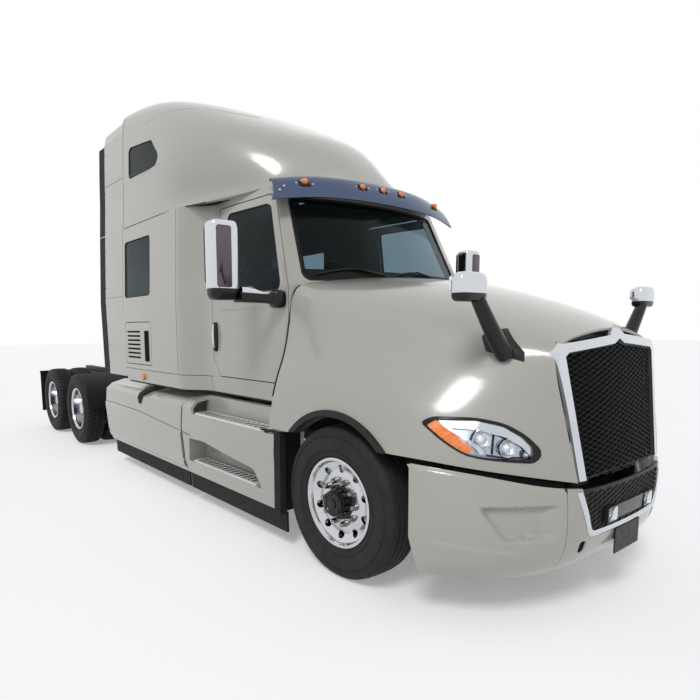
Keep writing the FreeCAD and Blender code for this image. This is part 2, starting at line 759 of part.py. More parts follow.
def grille_bow(y, z):
    """Forward x of the grille's face: bowed across and leaning back upward."""
    lean = (z - 800) / 840
    edge_y = 530 + 105 * min(max(lean, 0), 1)
    edge_x = 1238 - 118 * lean
    bow = 52 * (1 - (y / edge_y) ** 2)
    return edge_x + bow


def grille_sheet(outline_scale, depth, wall):
    rows = []
    for i in range(6):
        z = 802 + i * 152 * outline_scale
        half = (526 + 100 * (z - 800) / 760) * outline_scale
        row = []
        for j in range(7):
            y = half * (1 - j / 3)
            row.append(Vector(grille_bow(y, z) - depth, y, z))
        rows.append(row)
    return skin_solid(rows, -wall)


grille_face = [(-520, 806), (-622, 1500), (-560, 1548), (-70, 1590), (0, 1628), (70, 1590), (560, 1548),
               (622, 1500), (520, 806)]
grille_hole = [(-462, 806), (-562, 1478), (-530, 1500), (-60, 1538), (0, 1566), (60, 1538), (530, 1500),
               (562, 1478), (462, 806)]


def grille_surround(hood):
    sheet = grille_sheet(1.12, 0, surround_depth)
    ring = sheet.common(prism_x(grille_face, 900, 1500))
    return largest(ring.cut(prism_x(grille_hole, 900, 1500)).cut(hood))


def shrunk_front(outline, gap):
    points = [Vector(0, y, z) for y, z in outline]
    inner = Part.Face(Part.makePolygon(points + [points[0]])).makeOffset2D(-gap, 2)
    return [(v.Point.y, v.Point.z) for v in inner.OuterWire.OrderedVertexes]


mesh_pitch_y = 118
mesh_pitch_z = 86
mesh_bar = 9


def grille_mesh():
    sheet = grille_sheet(1.12, 16, 14)
    panel = sheet.common(prism_x(shrunk_front(grille_hole, seat), 900, 1500))
    frame_hole = prism_x(shrunk_front(grille_hole, 16), 900, 1500)
    holes = []
    for row in range(18):
        for col in range(-6, 7):
            y = col * mesh_pitch_y + (mesh_pitch_y / 2 if row % 2 else 0)
            z = 830 + row * mesh_pitch_z / 2
            half_y = mesh_pitch_y / 2 - mesh_bar
            half_z = mesh_pitch_z / 2 - mesh_bar
            diamond = [(y - half_y, z), (y, z + half_z), (y + half_y, z), (y, z - half_z)]
            holes.append(prism_x(diamond, 1000, 1400))
    cutter = Part.makeCompound(holes).common(frame_hole)
    return panel.cut(cutter)


mirror_pad = [(757, 1606), (850, 1635), (960, 1560), (1003, 1446), (812, 1502)]
mirror_pad_wall = 40
mirror_foot = (905, 755, 1500)
mirror_knee = (905, 1015, 1765)
mirror_arm_low = 50
mirror_arm_high = 40


def hood_mirrors(hood):
    """Small mirrors on stout arms, each on a pad that follows the hood's shoulder."""
    head = box(838, 942, 948, 1178, 1768, 1918)
    head = head.makeFillet(38, [e for e in head.Edges if abs(e.tangentAt(e.FirstParameter).x) < 0.5])
    pad = skin_solid(full_width(hood_lines), -mirror_pad_wall).common(prism_y(mirror_pad, 560, 900, 16))
    run = Vector(*mirror_knee) - Vector(*mirror_foot)
    arm = Part.makeCone(mirror_arm_low, mirror_arm_high, run.Length, Vector(*mirror_foot), run)
    knee = Part.makeSphere(mirror_arm_high + 1, Vector(*mirror_knee))
    return both_sides(largest(fuse_all([head, knee, arm, largest(pad)]).cut(hood)))


# Bumper

bumper_stations = [
    # Half outline from the middle to the wheel: (x, y) at mid height, top x, top y, top z
    (1276, 0, 1276, 0, 762), (1268, 280, 1268, 280, 762), (1240, 530, 1236, 530, 764),
    (1160, 750, 1122, 722, 790), (1062, 918, 1008, 872, 828), (930, 1060, 885, 1005, 862),
    (790, 1150, 712, 1132, 888), (628, 1198, 508, 1196, 896)]


def bumper_rows():
    levels = ((0.0, 95), (0.12, 30), (0.45, 0), (0.72, 0), (1.0, 0))
    half = []
    for x, y, top_x, top_y, top_z in bumper_stations:
        column = []
        reach = math.hypot(x, y)
        for share, tuck in levels:
            z = bumper_bottom_z + (top_z - bumper_bottom_z) * share
            blend = max(0.0, (share - 0.45) / 0.55)
            px = x + (top_x - x) * blend
            py = y + (top_y - y) * blend
            end = x < 700
            inward_x = 0 if end else tuck * x / reach * 1.2
            inward_y = tuck * y / reach * 0.45
            lean = 55 * (0.45 - share) / 0.45 if end and share < 0.45 else 0
            column.append(Vector(px - inward_x + lean, py - inward_y, z))
        half.append(column)
    other = [[Vector(p.x, -p.y, p.z) for p in column] for column in half[1:]]
    return other[::-1] + half


lower_grille_outline = [(-408, 500), (-520, 800), (520, 800), (408, 500)]


lower_grille_top = 760
lower_grille_inset = 6
lower_grille_wall = 12
tow_hole_y = 470


def bumper_face_cut(depth):
    """Solid behind the bumper's outer face, to trim what stands on that face."""
    return skin_solid(set_in(bumper_rows(), bumper_skin), -depth)


def plate_bolt_holes(shape, radius):
    for side in (RIGHT, LEFT):
        y = side * plate_bolt_y
        shape = shape.cut(rod((1000, y, plate_bolt_z), (1400, y, plate_bolt_z), radius))
    return shape


def bumper():
    """Skin that lies outside its grid, with the grille's opening, the tow holes and bolt holes."""
    solid = skin_solid(bumper_rows(), bumper_skin)
    solid = solid.cut(prism_x(lower_grille_outline, 900, 1400, 30))
    solid = plate_bolt_holes(solid, plate_bolt_radius + 1)
    for side in (RIGHT, LEFT):
        y = side * tow_hole_y
        hole = [(y - 26, 395), (y - 26, 465), (y + 26, 465), (y + 26, 395)]
        solid = solid.cut(prism_x(hole, 900, 1400, 20))
    return solid


def lower_grille():
    """Dark panel set into the bumper's middle opening."""
    sheet = skin_solid(set_in(bumper_rows(), lower_grille_inset), lower_grille_wall)
    opening = prism_x(shrunk_front(lower_grille_outline, seat), 900, 1400, 30 - seat)
    return sheet.common(opening).common(box(900, 1400, -700, 700, 0, lower_grille_top))


def fog_lamps():
    """Two lamps that stand on the lower grille's face."""
    lamps = []
    behind = skin_solid(set_in(bumper_rows(), lower_grille_inset + lower_grille_wall), -60)
    for y in (-240, 240):
        outline = [(y - 48, 540), (y - 48, 628), (y + 48, 628), (y + 48, 540)]
        lamps.append(largest(prism_x(outline, 1235, front_overhang - 2, 22).cut(behind)))
    return Part.makeCompound(lamps)


plate_wall = 8


def plate_bracket():
    """Blank holder for a plate, standing on the bumper's face."""
    plate = box(front_overhang - plate_wall, front_overhang, -160, 160, 325, 475)
    foot = box(1200, front_overhang - 1, -130, 130, 400, 460)
    return plate_bolt_holes(largest(plate.fuse(foot).cut(bumper_face_cut(120))), plate_bolt_radius)


plate_bolt_y = 89
plate_bolt_z = 360
plate_bolt_radius = 3.5


def bumper_beam():
    """Cross tube with its horns, which carries the bumper on the frame."""
    tube = box(frame_front - 40, frame_front + 80, -800, 800, 440, 640)
    pieces = [tube]
    for side in (RIGHT, LEFT):
        inner, outer = side * (frame_half_width - rail_flange), side * frame_half_width
        pieces.append(box(frame_front - 40, frame_front + 80, inner, outer, 600, frame_top - 60))
        pieces.append(box(frame_front, 1400, side * 560, side * 640, 480, 600))
    return [largest(fuse_all(pieces).cut(skin_solid(bumper_rows(), 90)))]


# Fairings, steps and skirts

fairing_section = [(980, fairing_top_z + 45), (1150, fairing_top_z), (1220, fairing_top_z - 60),
                   (fairing_half_width, 735), (1205, 400), (1165, fairing_bottom_z), (1060, fairing_bottom_z)]


def section_set_in(wall):
    outline = fairing_section + [(980, fairing_bottom_z)]
    inner = shrunk_front(outline, wall)
    return [(y, z) for y, z in inner]


def fairing_shell(x0, x1):
    outline = fairing_section + [(980, fairing_bottom_z)]
    outer = prism_x(outline, x0, x1)
    inner = [(y if y > 1010 else 900, z) for y, z in section_set_in(fairing_wall)]
    return outer, outer.cut(prism_x(inner, x0 + fairing_wall, x1 - fairing_wall))


def fairing_bracket(x, reach):
    """Arm from the frame rail out to a fairing."""
    return box(x - 30, x + 30, frame_half_width + seat, reach, 972, 999)


def rear_fairings():
    shell = fairing_shell(fairing_rear_x, fairing_seam_x - seam_gap / 2)[1]
    brackets = [fairing_bracket(x, 1060) for x in (-4120, -3150, -2200)]
    return both_sides(fuse_all([shell] + brackets))


upper_step_z = 872
lower_step_z = 420
step_front = -640
upper_pocket = [(-1990, fairing_top_z + 120), (-1930, upper_step_z + 60), (-1900, upper_step_z),
                (step_front + 100, upper_step_z), (step_front + 100, fairing_top_z + 120)]
lower_pocket = [(-2010, lower_step_z), (-1960, 640), (-1700, 648), (-900, 560), (-830, 470), (-800, lower_step_z)]


def step_fairings():
    x0, x1 = fairing_seam_x + seam_gap / 2, fairing_front_x
    outer, shell = fairing_shell(x0, x1)
    ledge = box(-2000, x1, 1000, 1300, upper_step_z - fairing_wall, upper_step_z)
    wall = box(-2000, x1, 990, 1016, upper_step_z - fairing_wall, fairing_top_z + 40)
    tub = prism_y([(-2040, lower_step_z - fairing_wall), (-1985, 668), (-1690, 672), (-880, 584), (-800, 480),
                   (-770, lower_step_z - fairing_wall)], 1010, 1300)
    shell = shell.fuse(outer.common(fuse_all([ledge, wall]))).fuse(outer.common(tub))
    shell = shell.cut(prism_y(upper_pocket, 1016, 1300))
    shell = shell.cut(prism_y(lower_pocket, 1034, 1300))
    shell = shell.cut(box(-722, -500, 900, 1300, hood_bottom_z - 15, 1200))
    brackets = [fairing_bracket(x, 1000) for x in (-2050, -1500, -800)]
    return both_sides(fuse_all([shell] + brackets))


def step_treads():
    treads = []
    for x0, x1, z, depth in ((-1860, -760, upper_step_z, 1210), (-1930, -900, lower_step_z, 1195)):
        plate = box(x0, x1, 1050, depth, z + seat, z + 14)
        for k in range(14):
            x = x0 + 40 + k * (x1 - x0 - 80) / 14
            plate = plate.cut(box(x, x + 34, 1075, depth - 25, z - 5, z + 30))
        treads.append(plate)
    return Part.makeCompound([both_sides(tread) for tread in treads])


def rubber_skirts():
    """Rubber strips under the fairings, behind the front wheels and along the extenders."""
    strips = []
    for x0, x1 in ((fairing_rear_x + 60, fairing_seam_x - 20), (fairing_seam_x + 20, fairing_front_x + 40)):
        outline = [(1128, fairing_bottom_z - seat), (1146, fairing_bottom_z - seat), (1142, skirt_bottom_z),
                   (1124, skirt_bottom_z)]
        strips.append(prism_x(outline, x0, x1))
    guard = prism_z([(fairing_front_x + seat, 985), (fairing_front_x + seat, 1228), (-552, 1215), (-556, 1160),
                     (-598, 1120), (-600, 985)], fairing_bottom_z, 890)
    strips.append(guard)
    outer = [(1176, 1110), (1190, belt_z), (1158, roof_seam_z), (1138, 3120), (1129, 3440), (1114, 3780)]
    inner = [(y - rubber_wall, z) for y, z in reversed(outer)]
    strips.append(prism_x(outer + inner, extender_rear - seat, rubber_rear))
    return Part.makeCompound([both_sides(strip) for strip in strips])


tank_radius = 310
tank_y = 800
tank_z = 655


def tanks():
    """Round fuel tanks on brackets, and the battery boxes ahead of them."""
    pieces = [rod((-3950, tank_y, tank_z), (-2300, tank_y, tank_z), tank_radius)]
    for x in (-3750, -3125, -2500):
        pieces.append(box(x - 50, x + 50, frame_half_width + seat, tank_y - 100, 740, 860))
    battery = box(-2050, -1250, frame_half_width + seat, 930, 480, 840)
    return both_sides(Part.makeCompound([fuse_all(pieces), battery]))


# Cab inside

steering_wheel_centre = (-1320, 480, 1840)
steering_lean = math.radians(38)
column_radius = 34
shaft_radius = 24


def steering_axis():
    return Vector(-math.sin(steering_lean), 0, math.cos(steering_lean))


def dashboard():
    """Panel across the cab's front wall, with the steering column's tube."""
    outline = [(-460, 1400), (-460, 1890), (-800, 1925), (-1080, 1860), (-1120, 1780), (-1000, 1400)]
    panel = prism_y(outline, -880, 880).common(cab_solid(cab_wall + seat, cab_floor_z + 60, roof_seam_z - 60))
    centre = Vector(*steering_wheel_centre)
    axis = steering_axis()
    tube = Part.makeCylinder(column_radius, 460, centre - axis * 520, axis)
    bore = Part.makeCylinder(shaft_radius + pin_clearance, 140, centre - axis * 195, axis)
    return fuse_all([panel, tube]).cut(bore)


def steering_wheel():
    centre = Vector(*steering_wheel_centre)
    axis = steering_axis()
    rim = Part.makeTorus(225, 16, centre, axis)
    hub = Part.makeCylinder(62, 40, centre - axis * 45, axis)
    across = axis.cross(Vector(0, 1, 0))
    spokes = []
    for direction in (Vector(0, 1, 0), Vector(0, -1, 0), across * -1):
        spokes.append(Part.makeCylinder(14, 222, centre - axis * 8, direction))
    shaft = Part.makeCylinder(shaft_radius, 150, centre - axis * 190, axis)
    return fuse_all([rim, hub, shaft] + spokes)


seat_x = -1560


def seats():
    shapes = []
    for side in (RIGHT, LEFT):
        y = side * 480
        base = box(seat_x - 240, seat_x + 250, y - 260, y + 260, 1480, 1640)
        back = prism_y([(seat_x - 250, 1600), (seat_x - 120, 1640), (seat_x - 240, 2330), (seat_x - 350, 2330)],
                       y - 240, y + 240)
        shapes.append(fuse_all([base, back]))
    return Part.makeCompound(shapes)


def bunk():
    return box(sleeper_back_x + cab_wall + seat, -2700, -1080, 1080, 1620, 1780)


def cab_furniture():
    """Seat pedestals and the locker under the bunk."""
    locker = box(sleeper_back_x + cab_wall + 0.5, -2720, -1085, 1085, 1120.5, 1619.5)
    stands = [box(seat_x - 160, seat_x + 170, side * 480 - 170, side * 480 + 170, 1120.5, 1479.5)
              for side in (RIGHT, LEFT)]
    return Part.makeCompound([locker] + stands)


# Outside fittings

visor_wall = 10
visor_half_width = 1060
visor_top_half_width = 965
visor_sweep = 150
visor_sag = 62
# Section of the visor at the vehicle's middle, as (x, z) from the roof's edge to its own lower edge
visor_profile = [(-838, 2824), (-800, 2836), (-752, 2806), (-708, 2738), (-686, 2684), (-677, 2646)]


def visor_rows():
    """Grid of the visor's face; it widens downward, and its ends sweep back and droop."""
    rows = []
    steps = len(visor_profile) - 1
    for i, (x, z) in enumerate(visor_profile):
        half_width = visor_top_half_width + (visor_half_width - visor_top_half_width) * i / steps
        row = []
        for k in range(9):
            share = -1 + k / 4
            row.append(Vector(x - visor_sweep * share ** 2, half_width * share, z - visor_sag * share ** 4))
        rows.append(row)
    return rows


def visor(roof):
    """Bright visor that runs across the top of the windscreen from the roof's front edge."""
    sheet = skin_solid(visor_rows(), visor_wall)
    sheet = sheet.cut(roof_nose_block(2600, 3000, -1300)).cut(cab_solid(-seat, belt_z, roof_seam_z + 60))
    return largest(sheet.cut(roof))


visor_lamp_places = (-769, -230, 0, 230, 769)
visor_lamp_radius = 24
visor_lamp_x = -716
visor_lamp_z = 2766
side_lamp_places = ((-3040, 1133, sleeper_half_width), (-810, 1160, cab_half_width))
rear_lamp_y = 388
rear_lamp_z = 800


def visor_lamp(y):
    """Bullet lamp that lies along X with its round end forward."""
    x = visor_lamp_x - visor_sweep * (y / visor_half_width) ** 2
    z = visor_lamp_z - visor_sag * (y / visor_half_width) ** 4
    lamp = rod((x - 60, y, z), (x, y, z), visor_lamp_radius)
    return lamp.fuse(Part.makeSphere(visor_lamp_radius, Vector(x, y, z)))


def marker_lamps():
    """Five lamps on the visor, two on each side of the cab and two at the frame's rear."""
    behind_visor = skin_solid(set_in(visor_rows(), visor_wall), -70)
    lamps = [largest(visor_lamp(y).cut(behind_visor)) for y in visor_lamp_places]
    hull = cab_solid(0, cab_floor_z, belt_z)
    for side in (RIGHT, LEFT):
        for x, z, y in side_lamp_places:
            lamps.append(rod((x, side * (y - 50), z), (x, side * (y + 12), z), 32).cut(hull))
        y = side * rear_lamp_y
        lamps.append(rod((frame_rear, y, rear_lamp_z), (rail_rear - seat, y, rear_lamp_z), 42))
    return Part.makeCompound(lamps)


mirror_low = 1905
mirror_high = 2435


def door_fittings(side):
    """Door mirror on its arm, and the pull handle."""
    head = box(-972, -802, 1325, 1572, mirror_low - 60, mirror_high)
    upright = [e for e in head.Edges if abs(e.tangentAt(e.FirstParameter).z) > 0.5]
    head = head.makeFillet(58, upright)
    arm = prism_z([(-810, 1060), (-700, 1060), (-705, 1110), (-830, 1350), (-930, 1350)], 1826, 1884)
    foot = rod((-745, cab_half_width + seat, 1855), (-745, 1120, 1855), 48)
    mirror = fuse_all([head, arm, foot])
    handle = box(-1752, -1690, cab_half_width + seat, cab_half_width + 42, 1440, 1700)
    return on_side(Part.makeCompound([mirror, handle]), side)


# Behind the cab

fifth_x = -5950
fifth_top = 1196
fifth_pin_z = 1128
fifth_pin_radius = 20


def fifth_wheel_base():
    pieces = []
    for side in (RIGHT, LEFT):
        y = side * 390
        outline = [(fifth_x - 190, frame_top + 13), (fifth_x + 190, frame_top + 13),
                   (fifth_x + 40, fifth_pin_z + 34), (fifth_x - 40, fifth_pin_z + 34)]
        pieces.append(prism_y(outline, y - 22, y + 22))
    pieces.append(box(fifth_x - 420, fifth_x + 420, -470, 470, frame_top + seat, frame_top + 14))
    base = fuse_all(pieces)
    return base.cut(rod_y(fifth_x, fifth_pin_z, -450, 450, fifth_pin_radius + pin_clearance))


kingpin_hole_radius = 25.7
throat_half = 180


def fifth_wheel_plate():
    """Slotted coupling plate that rocks on its cross pin."""
    outline = [(fifth_x + 300, -330), (fifth_x + 420, -200), (fifth_x + 420, 200), (fifth_x + 300, 330),
               (fifth_x + 120, 455), (fifth_x - 260, 455), (fifth_x - 470, 330), (fifth_x - 540, throat_half + 40),
               (fifth_x - 540, throat_half), (fifth_x - 40, kingpin_hole_radius),
               (fifth_x - 40, -kingpin_hole_radius), (fifth_x - 540, -throat_half),
               (fifth_x - 540, -throat_half - 40), (fifth_x - 470, -330), (fifth_x - 260, -455),
               (fifth_x + 120, -455)]
    plate = prism_z(outline, fifth_top - 16, fifth_top)
    pieces = [plate]
    for side in (RIGHT, LEFT):
        y = side * 330
        ear = [(fifth_x - 120, fifth_top - 15), (fifth_x + 120, fifth_top - 15),
               (fifth_x + 34, fifth_pin_z - 34), (fifth_x - 34, fifth_pin_z - 34)]
        pieces.append(prism_y(ear, y - 24, y + 24))
        pieces.append(rod_y(fifth_x, fifth_pin_z, side * 306, side * 418, fifth_pin_radius))
    plate = fuse_all(pieces)
    plate = plate.cut(rod((fifth_x, 0, fifth_top - 60), (fifth_x, 0, fifth_top + 10), kingpin_hole_radius))
    return plate


def mudguards():
    """Quarter guards ahead of the first driven wheels, and the rear flaps."""
    x = drive_axle_places[0]
    arc = turned_y([(660, tyre_radius + 62), (660, tyre_radius + 70), (1215, tyre_radius + 70),
                    (1215, tyre_radius + 62)], x, tyre_radius)
    quarter = arc.common(box(x + 250, x + 700, 500, 1300, 560, 1100))
    bracket = box(x + 420, x + 460, frame_half_width + seat, 700, 880, 905)
    flap_x = rail_rear + 5
    flap = box(flap_x, flap_x + 10, 640, 1210, 250, 900)
    hanger = box(flap_x - 5, flap_x + 25, frame_half_width + seat, 1215, 900, 940)
    pieces = [fuse_all([quarter, bracket]), fuse_all([flap, hanger])]
    return Part.makeCompound([both_sides(piece) for piece in pieces])


def deck_plate():
    return box(-4650, -4230, -frame_half_width, frame_half_width, frame_top + seat, frame_top + 9)


def build():
    os.makedirs("parts", exist_ok=True)
    save("frame", frame())
    save("engine", engine())
    save("radiator", radiator())
    save("front_axle", front_axle())
    save("drive_axles", drive_axles())
    save("tanks", tanks())

    hull = cab_hull()
    glass = glass_skin()
    save("cab_shell", cab_shell(hull))
    save("windscreen", windscreen(glass))
    roof = roof_fairing()
    save("roof_fairing", roof)
    save("sleeper_windows", sleeper_windows(glass, roof_skin(8, glass_thickness)))
    save("side_extenders", side_extenders())
    save("dashboard", dashboard())
    save("steering_wheel", steering_wheel())
    save("seats", seats())
    save("bunk", bunk())
    save("cab_furniture", cab_furniture())
    save("visor", visor(roof))
    save("marker_lamps", marker_lamps())

    hood = hood_solid()
    save("hood_shell", hood_shell(hood))
    save("headlamps", headlamps(hood))
    save("arch_trims", arch_trims())
    save("grille_surround", grille_surround(hood))
    save("grille_mesh", grille_mesh())
    save("hood_mirrors", hood_mirrors(hood))

    save("bumper", bumper())
    save("lower_grille", lower_grille())
    save("fog_lamps", fog_lamps())
    save("plate_bracket", plate_bracket())
    save("rear_fairings", rear_fairings())
    save("step_fairings", step_fairings())
    save("step_treads", step_treads())
    save("rubber_skirts", rubber_skirts())

    save("fifth_wheel_base", fifth_wheel_base())
    save("fifth_wheel_plate", fifth_wheel_plate())
    save("mudguards", mudguards())
    save("deck_plate", deck_plate())

    for side, word in ((RIGHT, "right"), (LEFT, "left")):
        save("door_panel_" + word, door_panel(hull, side))
        save("door_glass_" + word, door_glass(glass, side))
        save("door_fittings_" + word, door_fittings(side))
        save("hatch_" + word, hatch(hull, side))
        save("knuckle_" + word, knuckle(side))
        save("front_tyre_" + word, front_tyre(side))
        save("front_rim_" + word, front_rim(side))
        for x, axle in zip(drive_axle_places, ("first", "second")):
            save("twin_tyres_" + axle + "_" + word, twin_tyres(x, side))
            save("twin_rims_" + axle + "_" + word, twin_rims(x, side))


build()
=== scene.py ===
import bmesh
import bpy
import functools
import math
from mathutils import Matrix, Vector
from mathutils.bvhtree import BVHTree


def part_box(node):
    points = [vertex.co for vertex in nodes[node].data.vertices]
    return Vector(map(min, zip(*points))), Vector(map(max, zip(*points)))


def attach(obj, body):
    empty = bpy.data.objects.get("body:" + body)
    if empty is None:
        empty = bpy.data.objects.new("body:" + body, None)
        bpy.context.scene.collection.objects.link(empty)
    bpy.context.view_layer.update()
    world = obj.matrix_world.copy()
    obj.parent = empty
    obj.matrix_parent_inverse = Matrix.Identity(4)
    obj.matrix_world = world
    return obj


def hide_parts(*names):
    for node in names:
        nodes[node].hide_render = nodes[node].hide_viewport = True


# Dressing of a road tractor with a tall sleeper cab. Metres, +X forward, +Y the vehicle's left, +Z up.
# Points on a surface are given as seen in a view: (x, z) from the right or the left, (y, z) from the
# front or the rear, with x measured ahead of the steered axle.

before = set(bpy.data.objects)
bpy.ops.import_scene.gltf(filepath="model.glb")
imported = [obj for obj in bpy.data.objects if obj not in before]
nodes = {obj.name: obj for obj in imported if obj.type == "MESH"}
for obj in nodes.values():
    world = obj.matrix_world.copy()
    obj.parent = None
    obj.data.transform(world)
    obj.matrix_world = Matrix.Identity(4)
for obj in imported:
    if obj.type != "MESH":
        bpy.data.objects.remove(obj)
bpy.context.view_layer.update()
bpy.context.scene.view_settings.view_transform = "Standard"
SIDES = (("right", -1), ("left", 1))

tyre_low, tyre_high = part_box("front_tyre_right")
front_axle_x = (tyre_low.x + tyre_high.x) / 2
wheel_radius = tyre_high.z / 2

# Tyres and wheel nuts
tread_shoulder = 0.105
groove_depth = 0.014
groove_half = 0.005
rib_edges = (-0.064, -0.024, 0.024, 0.064)
ring_radii = (0.341, 0.351, 0.437, 0.446)
ring_half = 0.0026
ring_height = 0.0034
lug_depth = 0.011
lug_steps = 5
twin_half_width = 0.139
nut_count = 10
nut_ring = 0.1429

# Windows: half widths and heights of the windscreen's corners, then outlines with a corner radius and a middle
windscreen_corners = ((0.930, 1.990), (0.845, 2.655))
windscreen_band = 0.045
bunk_window = ([(-3.475, 1.985), (-3.475, 2.590), (-2.785, 2.590), (-2.785, 1.985)], 0.06, (-3.13, 2.29))
loft_window = ([(-3.330, 3.235), (-3.330, 3.560), (-2.760, 3.500), (-2.560, 3.300), (-2.640, 3.215)], 0.07,
               (-2.95, 3.36))
door_window = ([(-0.735, 1.925), (-0.985, 2.585), (-1.050, 2.610), (-1.640, 2.628), (-1.640, 1.985),
                (-1.150, 1.975), (-1.000, 1.925)], 0.045, (-1.25, 2.25))
visor_lamp_ys = (-0.769, -0.230, 0, 0.230, 0.769)

# Headlamp, grille and bumper
lamp_middle = (0.87, 1.035)
lamp_outline = [(0.625, 1.115), (0.678, 1.148), (0.862, 1.150), (0.975, 1.120), (1.050, 1.060), (1.098, 0.992),
                (1.103, 0.950), (1.080, 0.914), (0.974, 0.924), (0.855, 0.946), (0.755, 1.014)]
grille_hole = [(-0.462, 0.806), (-0.562, 1.478), (-0.530, 1.500), (-0.060, 1.538), (0, 1.566), (0.060, 1.538),
               (0.530, 1.500), (0.562, 1.478), (0.462, 0.806)]
mesh_pitch = 0.0150
mesh_wave = 0.084
mesh_reach = 0.60
corner_seam_y = 0.603
fog_y = 0.240
fog_z = 0.584

# Fairings and tanks
crease_line = ((-4.150, 0.764), (-3.100, 0.749), (-2.270, 0.690), (-1.020, 0.557))
tank_y = 0.800
tank_z = 0.655


# Shares and lines

def ramp(start, end, value):
    """Share from 0 to 1 of the way from start to end."""
    return min(max((value - start) / (end - start), 0), 1)


def smooth_step(start, end, value):
    share = ramp(start, end, value)
    return share * share * (3 - 2 * share)


def steps(start, end, count):
    """Even values from start to end."""
    return [start + (end - start) * k / (count - 1) for k in range(count)]


def signed_power(value, power):
    return math.copysign(abs(value) ** power, value)


def circle(count, radius=1.0, start=0.0):
    """Even points round a circle, the first one start steps on."""
    turns = [2 * math.pi * (k + start) / count for k in range(count)]
    return [(radius * math.cos(turn), radius * math.sin(turn)) for turn in turns]


def squarish(half_a, half_b, power=4.0, count=48):
    """Closed outline between an ellipse (power 2) and a rectangle (high power)."""
    bend = 2 / power
    return [(signed_power(c, bend) * half_a, signed_power(s, bend) * half_b) for c, s in circle(count)]


def rounded(points, radius, arc_steps=6, closed=True):
    """Line with its corners rounded; an open line keeps its ends."""
    line = []
    for i, point in enumerate(points):
        corner = Vector(point)
        if not closed and i in (0, len(points) - 1):
            line.append(tuple(corner))
            continue
        back = Vector(points[i - 1]) - corner
        ahead = Vector(points[(i + 1) % len(points)]) - corner
        reach = min(radius, back.length * 0.45, ahead.length * 0.45)
        start, end = corner + back.normalized() * reach, corner + ahead.normalized() * reach
        for t in steps(0, 1, arc_steps + 1):
            line.append(tuple(start * (1 - t) ** 2 + corner * 2 * t * (1 - t) + end * t ** 2))
    return line


def rounded_box(middle, half, low, high, radius):
    """Rounded rectangle that is half wide each way from its middle."""
    left, right = middle - half, middle + half
    return rounded([(left, low), (right, low), (right, high), (left, high)], radius)


def level(half, z):
    """Level line from one side to the other."""
    return [(-half, z), (half, z)]


def resampled(points, count):
    """The line through the points, as count points at even steps."""
    points = [Vector(p) for p in points]
    lengths = [0.0]
    for before, after in zip(points, points[1:]):
        lengths.append(lengths[-1] + (after - before).length)
    line = []
    k = 0
    for want in steps(0, lengths[-1], count):
        while k < len(points) - 2 and lengths[k + 1] < want:
            k += 1
        start, end = lengths[k], max(lengths[k + 1], lengths[k] + 1e-9)
        line.append(points[k].lerp(points[k + 1], ramp(start, end, want)))
    return line


def inside(outline, u, v):
    """Whether a point lies within a closed outline."""
    within = False
    for (u0, v0), (u1, v1) in zip(outline, outline[1:] + outline[:1]):
        if (v0 > v) != (v1 > v) and u < u0 + (v - v0) * (u1 - u0) / (v1 - v0):
            within = not within
    return within


# Forms

def placed(axis, along, a, b):
    """Point from its place along an axis and its two places across it."""
    return Vector({"x": (along, a, b), "y": (a, along, b), "z": (a, b, along)}[axis])


def add_skin(bm, rows, ring=True, loop=False):
    """Faces between rows of corners; ring closes each row, loop joins the last row to the first."""
    faces = []
    for this, after in zip(rows, rows[1:] + rows[:1] if loop else rows[1:]):
        count = len(this)
        for k in range(count if ring else count - 1):
            other = (k + 1) % count
            faces.append(bm.faces.new((this[k], this[other], after[other], after[k])))
    return faces


def add_loft(bm, rings, loop=False):
    """Form through rings of points, with a flat face at each end unless it is a loop."""
    rows = [[bm.verts.new(p) for p in ring] for ring in rings]
    faces = add_skin(bm, rows, True, loop)
    if not loop:
        faces += [bm.faces.new(rows[0][::-1]), bm.faces.new(rows[-1])]
    return faces


def add_turned(bm, profile, centre, axis="y", segments=96, radius_of=None):
    """Ring turned about an axis through centre; profile points are (offset along the axis, radius)."""
    rows = []
    for k, (a, b) in enumerate(circle(segments)):
        row = []
        for i, (along, radius) in enumerate(profile):
            if radius_of:
                radius = radius_of(k, i, radius)
            row.append(bm.verts.new(Vector(centre) + placed(axis, along, radius * a, radius * b)))
        rows.append(row)
    add_skin(bm, rows, False, True)


def add_prism(bm, outline, low, high, axis="x", bevel=0.0):
    """Closed outline in the plane across an axis, pushed from low to high along it."""
    faces = add_loft(bm, [[placed(axis, along, u, v) for u, v in outline] for along in (low, high)])
    if bevel:
        bmesh.ops.recalc_face_normals(bm, faces=faces)
        edges = list({edge for face in faces for edge in face.edges})
        bmesh.ops.bevel(bm, geom=edges, offset=bevel, segments=2, affect="EDGES", profile=0.5)


def add_block(bm, one, other, bevel=0.0):
    """Box between two opposite corners."""
    outline = [(one[0], one[1]), (other[0], one[1]), (other[0], other[1]), (one[0], other[1])]
    add_prism(bm, outline, one[2], other[2], "z", bevel)


def add_tube(bm, points, radius, sides=12, loop=False):
    """Round bar along points, with one radius or one for each; a None in place of a point is left out."""
    points = [Vector(p) for p in points if p is not None]
    count = len(points)
    if count < 2:
        return
    radii = radius if isinstance(radius, (list, tuple)) else [radius] * count
    rings = []
    normal = None
    for i, point in enumerate(points):
        if loop:
            run = points[(i + 1) % count] - points[i - 1]
        else:
            run = points[min(i + 1, count - 1)] - points[max(i - 1, 0)]
        run.normalize()
        if normal is None:
            normal = run.orthogonal().normalized()
        normal = (normal - run * normal.dot(run)).normalized()
        across = run.cross(normal)
        rings.append([point + normal * a + across * b for a, b in circle(sides, radii[i])])
    add_loft(bm, rings, loop)


def mesh_from(bm, name):
    mesh = bpy.data.meshes.new(name)
    bm.normal_update()
    bm.to_mesh(mesh)
    bm.free()
    return mesh


